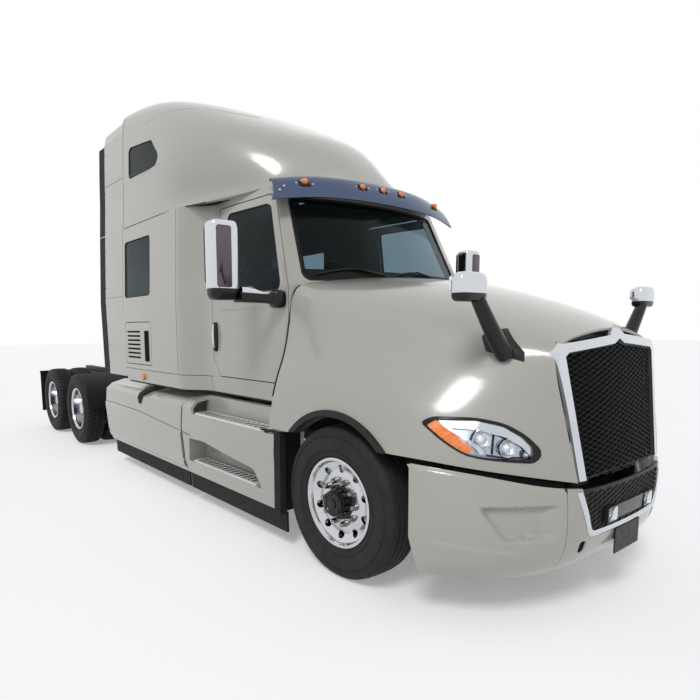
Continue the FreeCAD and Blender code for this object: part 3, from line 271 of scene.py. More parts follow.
def finished(bm, name, body, material, angle=35, node=None, slot=None):
    """Piece that rides on a body and may replace a node; its slot, its material's unless told another, is looked
    up but not used.
    """
    bmesh.ops.recalc_face_normals(bm, faces=bm.faces)
    mesh = mesh_from(bm, name)
    piece = bpy.data.objects.new(name, mesh)
    bpy.context.scene.collection.objects.link(piece)
    mesh.materials.append(material)
    for polygon in mesh.polygons:
        polygon.use_smooth = True
    mesh.set_sharp_from_angle(angle=math.radians(angle))
    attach(piece, body)
    slot = slot or slots[material]
    if node:
        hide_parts(node)
    return piece


def thicken(piece, depth):
    """Give a sheet a thickness, applied to its mesh."""
    modifier = piece.modifiers.new("wall", "SOLIDIFY")
    modifier.thickness = depth
    modifier.offset = -1
    bpy.context.view_layer.objects.active = piece
    with bpy.context.temp_override(object=piece, active_object=piece, selected_objects=[piece]):
        bpy.ops.object.modifier_apply(modifier=modifier.name)


# Pieces that follow the surfaces of the solids

def at(x, y, z):
    """Point from x ahead of the steered axle."""
    return Vector((front_axle_x + x, y, z))


@functools.cache
def tree_of(*names):
    """Search tree over the faces of some CAD nodes."""
    points, faces = [], []
    for name in names:
        mesh = nodes[name].data
        first = len(points)
        points += [vertex.co.copy() for vertex in mesh.vertices]
        faces += [[first + i for i in polygon.vertices] for polygon in mesh.polygons]
    return BVHTree.FromPolygons(points, faces)


def sight(u, v, view):
    """Start and direction of the line of sight to a point in a view, and the side it looks at (0 for none).
    A corner view looks in at 45 degrees, with u measured across it and forward."""
    if view == "front":
        return at(4, u, v), Vector((-1, 0, 0)), 0
    if view == "rear":
        return at(-9, u, v), Vector((1, 0, 0)), 0
    side = 1 if view.endswith("left") else -1
    if view.startswith("corner"):
        slant = math.sqrt(0.5)
        return at((u + 4) * slant, side * (4 - u) * slant, v), Vector((-slant, -side * slant, 0)), side
    return at(u, side * 4, v), Vector((0, -side, 0)), side


def landed(tree, u, v, view, middle=None):
    """Point and outward direction where a line of sight first meets a surface, or None twice.
    With a middle, a point that misses the surface moves toward the middle until it meets it."""
    goal = (u, v) if middle is None else middle
    for k in range(1 if middle is None else 25):
        share = 0.012 * k
        start, ahead, side = sight(u + (goal[0] - u) * share, v + (goal[1] - v) * share, view)
        spot, normal, index, distance = tree.ray_cast(start, ahead)
        if spot is not None and side * spot.y > -0.05:
            return spot, normal if normal.dot(ahead) < 0 else -normal
    return None, None


def lifted(tree, u, v, view, lift=0.0, middle=None):
    """Point at a height over a surface, or None where the line misses it."""
    spot, normal = landed(tree, u, v, view, middle)
    return None if spot is None else spot + normal * lift


def edge_between(tree, view, hit, miss):
    """Point where a surface ends, between a point on it and one that misses it."""
    hit, miss = Vector(hit), Vector(miss)
    for k in range(18):
        middle = (hit + miss) / 2
        if landed(tree, middle.x, middle.y, view)[0] is None:
            miss = middle
        else:
            hit = middle
    return hit


def add_seam(bm, tree, points, view, radius=0.0028, step=0.03, sink=0.35, middle=None):
    """Thin round bead laid along a line on a surface."""
    length = sum((Vector(b) - Vector(a)).length for a, b in zip(points, points[1:]))
    line = resampled(points, max(3, round(length / step)))
    add_tube(bm, [lifted(tree, u, v, view, -radius * sink, middle) for u, v in line], radius, 6)


def add_stud(bm, tree, u, v, view, sink, stand, radii, sides=10):
    """Short round head that stands on a surface."""
    add_tube(bm, [lifted(tree, u, v, view, -sink), lifted(tree, u, v, view, stand)], radii, sides)


def add_patch(bm, tree, low_line, high_line, view, counts, lift, wall, relief=None):
    """Closed sheet over a surface between two lines; relief adds height at (along, across) shares."""
    along, across = counts
    low_line, high_line = resampled(low_line, along), resampled(high_line, along)
    middle = (low_line[along // 2] + high_line[along // 2]) / 2
    outer, inner = [], []
    for low, high, a in zip(low_line, high_line, steps(0, 1, along)):
        outer_row, inner_row = [], []
        for b in steps(0, 1, across):
            u, v = low.lerp(high, b)
            spot, normal = landed(tree, u, v, view, middle)
            height = lift + (relief(a, b, u, v) if relief else 0)
            outer_row.append(bm.verts.new(spot + normal * height))
            inner_row.append(bm.verts.new(spot + normal * (height - wall)))
        outer.append(outer_row)
        inner.append(inner_row)
    add_skin(bm, [out + within[::-1] for out, within in zip(outer, inner)])
    for end in (0, -1):
        add_skin(bm, [outer[end], inner[end]], False)


# Materials

slots = {}


def new_material(name, slot):
    material = bpy.data.materials.new(name)
    material.use_nodes = True
    slots[material] = slot
    tree = material.node_tree
    return material, tree, tree.nodes["Principled BSDF"]


def add_node(tree, kind, inputs=None, **settings):
    """Shader node whose inputs, by name or place, get a value or a link from another node's output."""
    node = tree.nodes.new("ShaderNode" + kind)
    for key, value in (inputs or {}).items():
        if isinstance(value, bpy.types.NodeSocket):
            tree.links.new(value, node.inputs[key])
        else:
            node.inputs[key].default_value = value
    for key, value in settings.items():
        setattr(node, key, value)
    return node


def noise_in(tree, scale, detail=3.0, stretch=(1, 1, 1)):
    place = add_node(tree, "TexCoord").outputs["Object"]
    mapped = add_node(tree, "Mapping", {"Vector": place, "Scale": stretch}).outputs["Vector"]
    return add_node(tree, "TexNoise", {"Vector": mapped, "Scale": scale, "Detail": detail}).outputs["Fac"]


def vary_colour(tree, shader, colour, spread, scale, stretch=(1, 1, 1)):
    """Colour that drifts a little, lighter and darker, across the surface."""
    drift = add_node(tree, "ValToRGB", {"Fac": noise_in(tree, scale, 4.0, stretch)})
    for element, place, share in zip(drift.color_ramp.elements, (0.3, 0.7), (1 - spread, 1 + spread)):
        element.position = place
        element.color = [min(1, c * share) for c in colour] + [1]
    tree.links.new(drift.outputs["Color"], shader.inputs["Base Color"])


def vary_roughness(tree, shader, low, high, scale, stretch=(1, 1, 1)):
    drift = add_node(tree, "MapRange", {"Value": noise_in(tree, scale, 3.0, stretch), "From Min": 0.3,
                                        "From Max": 0.7, "To Min": low, "To Max": high})
    tree.links.new(drift.outputs["Result"], shader.inputs["Roughness"])


def add_bump(tree, shader, height, depth):
    bump = add_node(tree, "Bump", {"Height": height, "Distance": depth, "Strength": 1.0})
    tree.links.new(bump.outputs["Normal"], shader.inputs["Normal"])


def surface(name, slot, colour, rough, metal=0.0, spread=0.06, patch=3.0, grain=None, coat=0.0,
            stretch=(1, 1, 1), specular=0.5):
    """Opaque material: colour with drift, roughness from rough[0] to rough[1], grain (scale, depth) as bump."""
    material, tree, shader = new_material(name, slot)
    shader.inputs["Metallic"].default_value = metal
    shader.inputs["Specular IOR Level"].default_value = specular
    if coat:
        shader.inputs["Coat Weight"].default_value = coat
        shader.inputs["Coat Roughness"].default_value = 0.13
    vary_colour(tree, shader, colour, spread, patch, stretch)
    vary_roughness(tree, shader, rough[0], rough[1], patch * 4, stretch)
    if grain:
        add_bump(tree, shader, noise_in(tree, grain[0], 4.0, stretch), grain[1])
    return material


def clear_surface(name, colour, rough, ior):
    material, tree, shader = new_material(name, name)
    shader.inputs["Transmission Weight"].default_value = 1.0
    shader.inputs["IOR"].default_value = ior
    vary_colour(tree, shader, colour, 0.03, 2.0)
    vary_roughness(tree, shader, rough * 0.5, rough, 5.0)
    return material


def fabric(name, colour, weave_scale):
    """Woven cloth: two crossed bands as bump, with a soft sheen."""
    material, tree, shader = new_material(name, "seat_fabric")
    vary_colour(tree, shader, colour, 0.18, 40.0)
    vary_roughness(tree, shader, 0.8, 0.95, 30.0)
    shader.inputs["Sheen Weight"].default_value = 0.25
    place = add_node(tree, "TexCoord").outputs["Object"]
    bands = [add_node(tree, "TexWave", {"Vector": place, "Scale": weave_scale, "Distortion": 1.5},
                      bands_direction=direction).outputs["Fac"] for direction in ("X", "Z")]
    both = add_node(tree, "Math", {0: bands[0], 1: bands[1]}, operation="ADD")
    add_bump(tree, shader, both.outputs["Value"], 0.0008)
    return material


paint = surface("body_paint", "body_paint", (0.365, 0.352, 0.318), (0.30, 0.38), spread=0.025, patch=1.2,
                grain=(900, 0.00004), coat=1.0, specular=0.35)
frame_black = surface("frame_black", "frame_paint", (0.018, 0.018, 0.019), (0.38, 0.55), spread=0.2, patch=6,
                      grain=(350, 0.0002), specular=0.25)
iron = surface("cast_iron", "engine_iron", (0.045, 0.044, 0.043), (0.5, 0.75), metal=0.4, spread=0.3, patch=9,
               grain=(220, 0.0006))
fins = surface("radiator_fins", "radiator_fins", (0.05, 0.05, 0.052), (0.4, 0.6), metal=0.6, spread=0.3,
               patch=20, grain=(500, 0.001), stretch=(1, 8, 1))
polished = surface("polished_aluminium", "polished_aluminium", (0.58, 0.59, 0.61), (0.08, 0.2), metal=1.0,
                   spread=0.03, patch=8, grain=(500, 0.00006))
brushed = surface("brushed_aluminium", "polished_aluminium", (0.62, 0.63, 0.64), (0.28, 0.42), metal=1.0,
                  spread=0.08, patch=12, grain=(300, 0.0002), stretch=(0.2, 1, 1))
tread_metal = surface("tread_aluminium", "polished_aluminium", (0.80, 0.81, 0.82), (0.25, 0.4), metal=0.5,
                      patch=12, grain=(300, 0.0002))
chrome = surface("chrome", "chrome_trim", (0.62, 0.645, 0.68), (0.03, 0.08), metal=1.0, spread=0.02, patch=5,
                 grain=(30, 0.00008))
# Darker copy of chrome for the front wheel nuts, a painted dark reflection; the twin wheels' nuts use plain
# chrome.
nut_chrome_dark_reflection = surface("nut_chrome_dark_reflection", "chrome_trim", (0.26, 0.25, 0.25), (0.06, 0.14), metal=1.0, spread=0.15,
                     patch=4, grain=(40, 0.0001))
# Darker chrome for the door mirror's front panel, a painted dark reflection on a shell that is chrome all over.
chrome_painted_reflection = surface("chrome_painted_reflection", "chrome_trim", (0.115, 0.105, 0.115), (0.06, 0.14), metal=1.0,
                      spread=0.15, patch=4, grain=(40, 0.0001))
smoked = surface("smoked_reflector", "chrome_trim", (0.42, 0.47, 0.55), (0.12, 0.25), metal=1.0, spread=0.25,
                 patch=14, grain=(90, 0.0006))
mirror_silver = surface("mirror_silver", "chrome_trim", (0.72, 0.76, 0.78), (0.02, 0.04), metal=1.0,
                        spread=0.02, patch=4, grain=(8, 0.00002))
# The visor is chrome; its dark navy base colour is a painted reflection of a blue sky.
visor_sky_reflection = surface("visor_sky_reflection", None, (0.085, 0.112, 0.185), (0.14, 0.24), metal=1.0, spread=0.05,
                      grain=(60, 0.0001))
tyre_rubber = surface("tyre_rubber", "tyre_rubber", (0.020, 0.0195, 0.019), (0.62, 0.8), spread=0.25, patch=7,
                      grain=(260, 0.0005), specular=0.25)
black_rubber = surface("black_rubber", "black_rubber", (0.016, 0.016, 0.016), (0.65, 0.85), spread=0.25,
                       patch=9, grain=(400, 0.0003), specular=0.25)
black_plastic = surface("black_plastic", "black_plastic", (0.012, 0.012, 0.013), (0.38, 0.5), spread=0.2,
                        patch=6, grain=(700, 0.0002), specular=0.25)
gloss_black = surface("gloss_black", "black_plastic", (0.006, 0.006, 0.007), (0.08, 0.16), spread=0.2,
                      patch=6, coat=0.15, grain=(300, 0.00002), specular=0.25)
mesh_black = surface("mesh_black", "black_plastic", (0.004, 0.004, 0.004), (0.35, 0.5), spread=0.2, patch=6,
                     grain=(300, 0.00005), specular=0.15)
# Matte black with almost no specular: the black of the hatch's pull, and sheets that paint the shade in openings
# and gaps.
black_and_painted_shade = surface("black_and_painted_shade", "black_plastic", (0.004, 0.004, 0.0045), (0.6, 0.8), spread=0.3,
                       patch=20, grain=(300, 0.0008), specular=0.05)
cover_brown = surface("cover_brown", "black_plastic", (0.055, 0.044, 0.034), (0.2, 0.3), spread=0.1, patch=9,
                      grain=(200, 0.00005))
cab_trim = surface("cab_trim", "cab_trim", (0.06, 0.058, 0.055), (0.55, 0.7), spread=0.12, patch=10,
                   grain=(450, 0.0004))
amber = surface("amber_lens", "amber_lens", (0.85, 0.20, 0.015), (0.08, 0.16), spread=0.12, patch=60,
                grain=(140, 0.0006), coat=0.6)
red_lens = surface("red_lens", None, (0.50, 0.012, 0.010), (0.08, 0.16), spread=0.12, patch=60,
                   grain=(140, 0.0006), coat=0.6)
lamp_white = surface("lamp_white", "lamp_glass", (0.80, 0.83, 0.86), (0.1, 0.2), metal=0.35, spread=0.1,
                     patch=50, grain=(160, 0.0008), coat=0.8)
glass = clear_surface("tinted_glass", (0.335, 0.43, 0.475), 0.02, 1.13)
lamp_glass = clear_surface("lamp_glass", (0.95, 0.96, 0.97), 0.03, 1.18)
seat_cloth = fabric("seat_cloth", (0.055, 0.053, 0.052), 260)
bunk_cloth = fabric("bunk_cloth", (0.11, 0.105, 0.10), 180)

NODE_MATERIALS = (
    (paint, "cab_shell roof_fairing side_extenders bumper rear_fairings step_fairings hood_shell"),
    (frame_black, "frame front_axle drive_axles fifth_wheel_base"),
    (iron, "engine fifth_wheel_plate"),
    (fins, "radiator"),
    (brushed, "tanks deck_plate"),
    (tread_metal, "step_treads"),
    (glass, "windscreen sleeper_windows"),
    (visor_sky_reflection, "visor"),
    (black_plastic, "lower_grille plate_bracket mudguards arch_trims hood_mirrors"),
    (cab_trim, "dashboard cab_furniture steering_wheel"),
    (black_rubber, "rubber_skirts"),
    (lamp_glass, "fog_lamps headlamps"),
    (amber, "marker_lamps"),
    (seat_cloth, "seats"),
    (bunk_cloth, "bunk"),
    (chrome, "grille_surround"),
    (gloss_black, "grille_mesh"),
)
SIDE_MATERIALS = (
    (paint, "door_panel hatch"),
    (glass, "door_glass"),
    (chrome, "door_fittings"),
    (frame_black, "knuckle"),
    (tyre_rubber, "front_tyre twin_tyres_first twin_tyres_second"),
    (polished, "front_rim twin_rims_first twin_rims_second"),
)


def dress(node, material):
    mesh = nodes[node].data
    mesh.materials.clear()
    mesh.materials.append(material)
    for polygon in mesh.polygons:
        polygon.material_index = 0


def dress_all():
    for material, names in NODE_MATERIALS:
        for name in names.split():
            dress(name, material)
    for material, names in SIDE_MATERIALS:
        for name in names.split():
            for word, side in SIDES:
                dress(name + "_" + word, material)


# Camera and studio

image_side = 700
focal_px = 550.336
centre_px = (288.017, 395.112)
camera_place = (5.758, -3.506, 1.652)
camera_yaw = 0.64517
camera_pitch = 0.12348
camera_roll = -0.01033


def add_camera():
    """Camera at the photograph's place, with its view direction from yaw, pitch and roll."""
    flat = math.cos(camera_pitch)
    ahead = Vector((-math.cos(camera_yaw) * flat, math.sin(camera_yaw) * flat, -math.sin(camera_pitch)))
    flat_right = ahead.cross(Vector((0, 0, 1))).normalized()
    flat_up = flat_right.cross(ahead)
    right = flat_right * math.cos(camera_roll) + flat_up * math.sin(camera_roll)
    up = flat_up * math.cos(camera_roll) - flat_right * math.sin(camera_roll)
    data = bpy.data.cameras.new("camera")
    data.sensor_width = 36
    data.lens = focal_px * data.sensor_width / image_side
    data.shift_x = (image_side / 2 - centre_px[0]) / image_side
    data.shift_y = (centre_px[1] - image_side / 2) / image_side
    data.clip_end = 500
    camera = bpy.data.objects.new("camera", data)
    bpy.context.scene.collection.objects.link(camera)
    camera.matrix_world = Matrix.Translation(camera_place) @ Matrix((right, up, -ahead)).transposed().to_4x4()
    bpy.context.scene.camera = camera


def add_lamp(name, kind, place, target, energy):
    lamp = bpy.data.objects.new(name, bpy.data.lights.new(name, kind))
    bpy.context.scene.collection.objects.link(lamp)
    lamp.location = place
    lamp.rotation_euler = (Vector(target) - Vector(place)).to_track_quat("-Z", "Y").to_euler()
    lamp.data.energy = energy
    return lamp


def seen_directly(tree):
    """1 for rays that show the background: from the camera, in a mirror or through glass."""
    path = add_node(tree, "LightPath")
    total = path.outputs["Is Camera Ray"]
    for ray in ("Is Glossy Ray", "Is Transmission Ray"):
        step = add_node(tree, "Math", {0: total, 1: path.outputs[ray]}, operation="ADD", use_clamp=True)
        total = step.outputs[0]
    return total


def lighten_when_seen(material, strength):
    """Add white to a material where the camera sees it, so that a pale floor keeps only the shadow."""
    tree = material.node_tree
    shader = tree.nodes["Principled BSDF"].outputs["BSDF"]
    white = add_node(tree, "Emission", {"Strength": strength})
    both = add_node(tree, "AddShader", {0: shader, 1: white.outputs[0]})
    mix = add_node(tree, "MixShader", {0: seen_directly(tree), 1: shader, 2: both.outputs[0]})
    tree.links.new(mix.outputs[0], tree.nodes["Material Output"].inputs["Surface"])


def add_studio():
    """White background with even light, a pale floor, a soft sun and a fill lamp."""
    world = bpy.data.worlds.new("studio")
    bpy.context.scene.world = world
    world.use_nodes = True
    tree = world.node_tree
    light = tree.nodes["Background"]
    light.inputs["Color"].default_value = (0.93, 0.96, 1.0, 1)
    light.inputs["Strength"].default_value = 0.42
    shown = add_node(tree, "Background", {"Color": (1, 1, 1, 1)})
    mix = add_node(tree, "MixShader", {0: seen_directly(tree), 1: light.outputs[0], 2: shown.outputs[0]})
    tree.links.new(mix.outputs[0], tree.nodes["World Output"].inputs["Surface"])

    bm = bmesh.new()
    add_turned(bm, [(0, 0.01), (0, 60)], (0, 0, -0.001), "z", 64)
    floor = bpy.data.objects.new("floor", mesh_from(bm, "floor"))
    bpy.context.scene.collection.objects.link(floor)
    pale = surface("floor_pale", None, (0.86, 0.86, 0.86), (0.8, 0.95), spread=0.01, patch=0.5)
    lighten_when_seen(pale, 0.26)
    floor.data.materials.append(pale)
    key = add_lamp("key", "SUN", (4, -7, 11), (0, 0, 1.5), 1.35)
    key.data.angle = math.radians(18)
    fill = add_lamp("fill", "AREA", (9, -9, 5), (2, 0, 1.8), 130)
    fill.data.shape = "DISK"
    fill.data.size = 6
    fill.visible_glossy = False


# Wheels

def sidewall():
    """Side of a tyre from bead to shoulder as (offset, radius), with thin raised rings round it."""
    plain = [(0.1045, 0.2975), (0.116, 0.309), (0.1215, 0.3125), (0.1285, 0.334), (0.1365, 0.366),
             (0.1388, 0.396), (0.1372, 0.426), (0.1318, 0.452), (0.1262, 0.468), (0.1252, 0.4725),
             (0.1222, 0.4755), (0.1165, 0.4895), (tread_shoulder, 0.4985)]
    line = []
    for (offset, radius), (next_offset, next_radius) in zip(plain, plain[1:]):
        line.append((offset, radius))
        for ring in ring_radii:
            if radius < ring < next_radius:
                for shift, height in ((-ring_half, 0), (0, ring_height), (ring_half, 0)):
                    share = (ring + shift - radius) / (next_radius - radius)
                    line.append((offset + (next_offset - offset) * share + height, ring + shift))
    return line + [plain[-1]]


def tyre_profile():
    """Section of one tyre from bead to bead as (offset, radius), with four grooves round it."""
    side = sidewall()
    tread = []
    for edge in rib_edges:
        crown = 0.506 - 0.5 * edge ** 2
        wall = [(groove_half + 0.002, crown), (groove_half, crown - 0.002),
                (groove_half - 0.002, crown - groove_depth)]
        tread += [(edge - offset, radius) for offset, radius in wall]
        tread += [(edge + offset, radius) for offset, radius in wall[::-1]]
    return [(-offset, radius) for offset, radius in side] + tread + side[::-1]


def lug_radius(profile):
    """Radius rule that cuts cross grooves into the tread between the round ones."""
    def rule(k, i, radius):
        offset = abs(profile[i][0])
        shift = 2 if offset < 0.03 else 0
        on_tread = offset <= tread_shoulder + 0.013 and radius >= 0.49
        return radius - lug_depth if on_tread and (k + shift) % lug_steps == 0 else radius
    return rule


def add_tyres(name, middles, x, body, node, lugs):
    bm = bmesh.new()
    profile = tyre_profile()
    for y in middles:
        add_turned(bm, profile, (x, y, wheel_radius), "y", 240, lug_radius(profile) if lugs else None)
    finished(bm, name, body, tyre_rubber, 30, node)


def add_nuts(name, body, material, x, face_y, side, radius, length):
    """Wheel nuts under domed caps, standing out from the disc."""
    cap = [(0, 0.0), (0, radius * 1.25), (length * 0.14, radius * 1.25), (length * 0.16, radius),
           (length * 0.75, radius * 0.94), (length * 0.94, radius * 0.62), (length, 0.0005)]
    bm = bmesh.new()
    for a, b in circle(nut_count, nut_ring):
        add_turned(bm, [(side * along, r) for along, r in cap], (x + a, face_y, wheel_radius + b), "y", 18)
    finished(bm, name, body, material)


def add_front_wheel(word, side):
    body = "front_wheel_" + word
    low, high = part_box("front_tyre_" + word)
    middle = (low.y + high.y) / 2
    add_tyres("tyre_front_" + word, [middle], front_axle_x, body, "front_tyre_" + word, False)
    add_nuts("nuts_front_" + word, body, nut_chrome_dark_reflection, front_axle_x, middle + side * 0.079, side, 0.0185, 0.046)
    hub = [(0.076, 0.118), (0.082, 0.116), (0.086, 0.096), (0.120, 0.090), (0.1505, 0.0845), (0.158, 0.080),
           (0.160, 0.060), (0.155, 0.056), (0.155, 0.036), (0.161, 0.034), (0.163, 0.0005)]
    bolt = [(0, 0.009), (0.006, 0.0085), (0.007, 0.0005)]
    bm = bmesh.new()
    add_turned(bm, [(side * along, r) for along, r in hub], (front_axle_x, middle, wheel_radius), "y", 64)
    for a, b in circle(6, 0.070, 0.5):
        spot = (front_axle_x + a, middle + side * 0.157, wheel_radius + b)
        add_turned(bm, [(side * along, r) for along, r in bolt], spot, "y", 6)
    finished(bm, "hub_cap_front_" + word, body, gloss_black)


def add_twin_wheels(word, side):
    for axle in ("first", "second"):
        label = axle + "_" + word
        body = "twin_wheel_" + label
        low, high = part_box("twin_tyres_" + label)
        x, meet = (low.x + high.x) / 2, (low.y + high.y) / 2
        reach = (high.y - low.y) / 2 - twin_half_width
        middles = [meet + side * reach, meet - side * reach]
        add_tyres("tyres_twin_" + label, middles, x, body, "twin_tyres_" + label, True)
        add_nuts("nuts_twin_" + label, body, chrome, x, meet + side * 0.0215, side, 0.0205, 0.05)


# Windscreen, visor and cab seams

def add_windscreen_trim():
    """Black printed band behind the glass's edge, rubber gasket round it and two wipers."""
    (low_y, low_z), (top_y, top_z) = windscreen_corners
    tree = tree_of("windscreen")
    gap = 0.006
    foot_z, head_z = low_z + gap, top_z - gap
    bands = [(level(low_y - gap, foot_z), level(low_y - windscreen_band, low_z + 2 * windscreen_band), (60, 4)),
             (level(top_y - windscreen_band, top_z - windscreen_band), level(top_y - 2 * gap, head_z), (60, 3))]
    for side in (-1, 1):
        bands.append(([(side * (low_y - gap), foot_z), (side * (low_y - windscreen_band), foot_z)],
                      [(side * (top_y - gap), head_z), (side * (top_y - windscreen_band), head_z)], (3, 24)))
    bm = bmesh.new()
    for low_line, high_line, counts in bands:
        add_patch(bm, tree, low_line, high_line, "front", counts, 0.0008, 0.0016)
    finished(bm, "windscreen_band", "chassis", mesh_black)

    bm = bmesh.new()
    ring = level(low_y, low_z) + level(top_y, top_z)[::-1] + [(-low_y, low_z)]
    for start, end in zip(ring, ring[1:]):
        add_seam(bm, tree, [start, end], "front", 0.0105, 0.04, 0.0, (0, 2.32))
    finished(bm, "windscreen_gasket", "chassis", black_rubber)

    for word, start_y, tip_y in (("right", -0.14, -0.80), ("left", 0.52, -0.12)):
        bm = bmesh.new()
        blade = []
        for share in steps(0, 1, 13):
            z = 2.035 + 0.05 * math.sin(math.pi * share)
            blade.append(lifted(tree, start_y + (tip_y - start_y) * share, z, "front", 0.011))
        add_tube(bm, blade, 0.0075, 8)
        arm = [blade[6] + Vector((0.012, 0, 0.006)), (blade[3] + blade[0]) / 2 + Vector((0.022, 0, -0.01)),
               blade[0] + Vector((0.016, 0.05, -0.048))]
        add_tube(bm, arm, [0.006, 0.009, 0.013], 10)
        finished(bm, "wiper_" + word, "chassis", black_plastic)


def add_visor_parts():
    """Dark bases under the visor's lamps and bright screws beside them."""
    tree = tree_of("visor")
    bm = bmesh.new()
    screws = bmesh.new()
    for y in visor_lamp_ys:
        z = 2.766 - 0.062 * (y / 1.06) ** 2
        add_patch(bm, tree, [(y - 0.047, z - 0.020), (y + 0.047, z - 0.020)],
                  [(y - 0.040, z + 0.020), (y + 0.040, z + 0.020)], "front", (9, 5), 0.004, 0.006)
        for offset in (-0.066, 0.066):
            add_stud(screws, tree, y + offset, z, "front", 0.002, 0.004, 0.007)
    for y, z in level(0.985, 2.665) + level(0.940, 2.700):
        add_stud(screws, tree, y, z, "front", 0.002, 0.004, 0.009)
    finished(bm, "visor_lamp_bases", "chassis", black_rubber)
    finished(screws, "visor_screws", "chassis", chrome)


def add_cab_seams(word, side):
    """Dark joints between the cab's panels, and the panels' pressed creases."""
    cab = tree_of("cab_shell")
    roof = tree_of("roof_fairing")
    bm = bmesh.new()
    add_seam(bm, cab, [(-3.52, 1.212), (-1.80, 1.212)], word)
    add_seam(bm, cab, [(-2.192, 1.22), (-2.192, 2.735)], word, 0.002)
    add_seam(bm, cab, [(-1.83, 1.08), (-1.83, 1.205)], word, 0.002)
    add_seam(bm, roof, [(-3.49, 2.765), (-3.49, 3.93)], word)
    foot = []
    for x in steps(-3.485, -1.825, 50):
        spot = lifted(roof, x, edge_between(roof, word, (x, 2.95), (x, 2.60)).y + 0.001, word)
        if spot is not None:
            foot.append(spot - Vector((0, side * 0.0015, 0.002)))
    add_tube(bm, foot, 0.0045, 6)
    finished(bm, "cab_seams_" + word, "chassis", black_rubber)
    bm = bmesh.new()
    add_seam(bm, cab, [(-3.47, 1.800), (-2.45, 1.800)], word, 0.006, 0.03, 0.5)
    low_crease = [(-3.47, 3.185), (-2.95, 3.205), (-2.50, 3.225), (-2.10, 3.225), (-1.75, 3.190)]
    high_crease = [(-2.95, 3.700), (-2.60, 3.730), (-2.20, 3.690), (-1.90, 3.600)]
    add_seam(bm, roof, low_crease, word, 0.011, 0.03, 0.72)
    add_seam(bm, roof, high_crease, word, 0.011, 0.03, 0.75)
    finished(bm, "cab_creases_" + word, "chassis", paint, 60)


def add_gasket(bm, tree, window, view):
    outline, corner, middle = window
    line = rounded(outline, corner)
    add_seam(bm, tree, line + line[:1], view, 0.0095, 0.02, 0.1, middle)


def add_corner_fills(bm, tree, window, view):
    """Thin plates that round off the corners of a pane."""
    outline, radius, middle = window
    arc_points = 7
    line = rounded(outline, radius, arc_points - 1)
    for i, corner in enumerate(outline):
        fan = [corner] + line[i * arc_points:(i + 1) * arc_points]
        add_loft(bm, [[lifted(tree, u, v, view, lift, middle) for u, v in fan] for lift in (0.0018, 0.0004)])


def add_window_gaskets(word, side):
    """Rubber round the side windows, rounded corners of the sleeper's panes and the door's belt crease."""
    panes = tree_of("sleeper_windows")
    gaskets = bmesh.new()
    corners = bmesh.new()
    for window in (bunk_window, loft_window):
        add_gasket(gaskets, panes, window, word)
        add_corner_fills(corners, panes, window, word)
    finished(gaskets, "window_gaskets_" + word, "chassis", black_rubber)
    finished(corners, "window_corners_" + word, "chassis", paint)
    bm = bmesh.new()
    add_gasket(bm, tree_of("door_glass_" + word), door_window, word)
    finished(bm, "door_gasket_" + word, "door_" + word, black_rubber)
    bm = bmesh.new()
    add_seam(bm, tree_of("door_panel_" + word), [(-1.66, 1.800), (-0.70, 1.800)], word, 0.005, 0.03, 0.55)
    finished(bm, "door_belt_" + word, "door_" + word, paint, 60)


# Mirrors and handles

def add_stack(bm, x, y, half, levels, power, count=48):
    """Loft up through level rings, given as (height, scale)."""
    outline = squarish(half[0], half[1], power, count)
    add_loft(bm, [[at(x + a * scale, y + b * scale, z) for a, b in outline] for z, scale in levels])


def add_stalk(bm, side, stations, power, count=32):
    """Loft inward through upright rings, given as (y, x, half width, half height, z)."""
    add_loft(bm, [[at(x + a, side * y, z + b) for a, b in squarish(wide, tall, power, count)]
                  for y, x, wide, tall, z in stations])


def add_plate(bm, outline, x0, x1, bevel):
    """Upright plate across the vehicle, between two places ahead of the steered axle."""
    add_prism(bm, outline, front_axle_x + x0, front_axle_x + x1, "x", bevel)


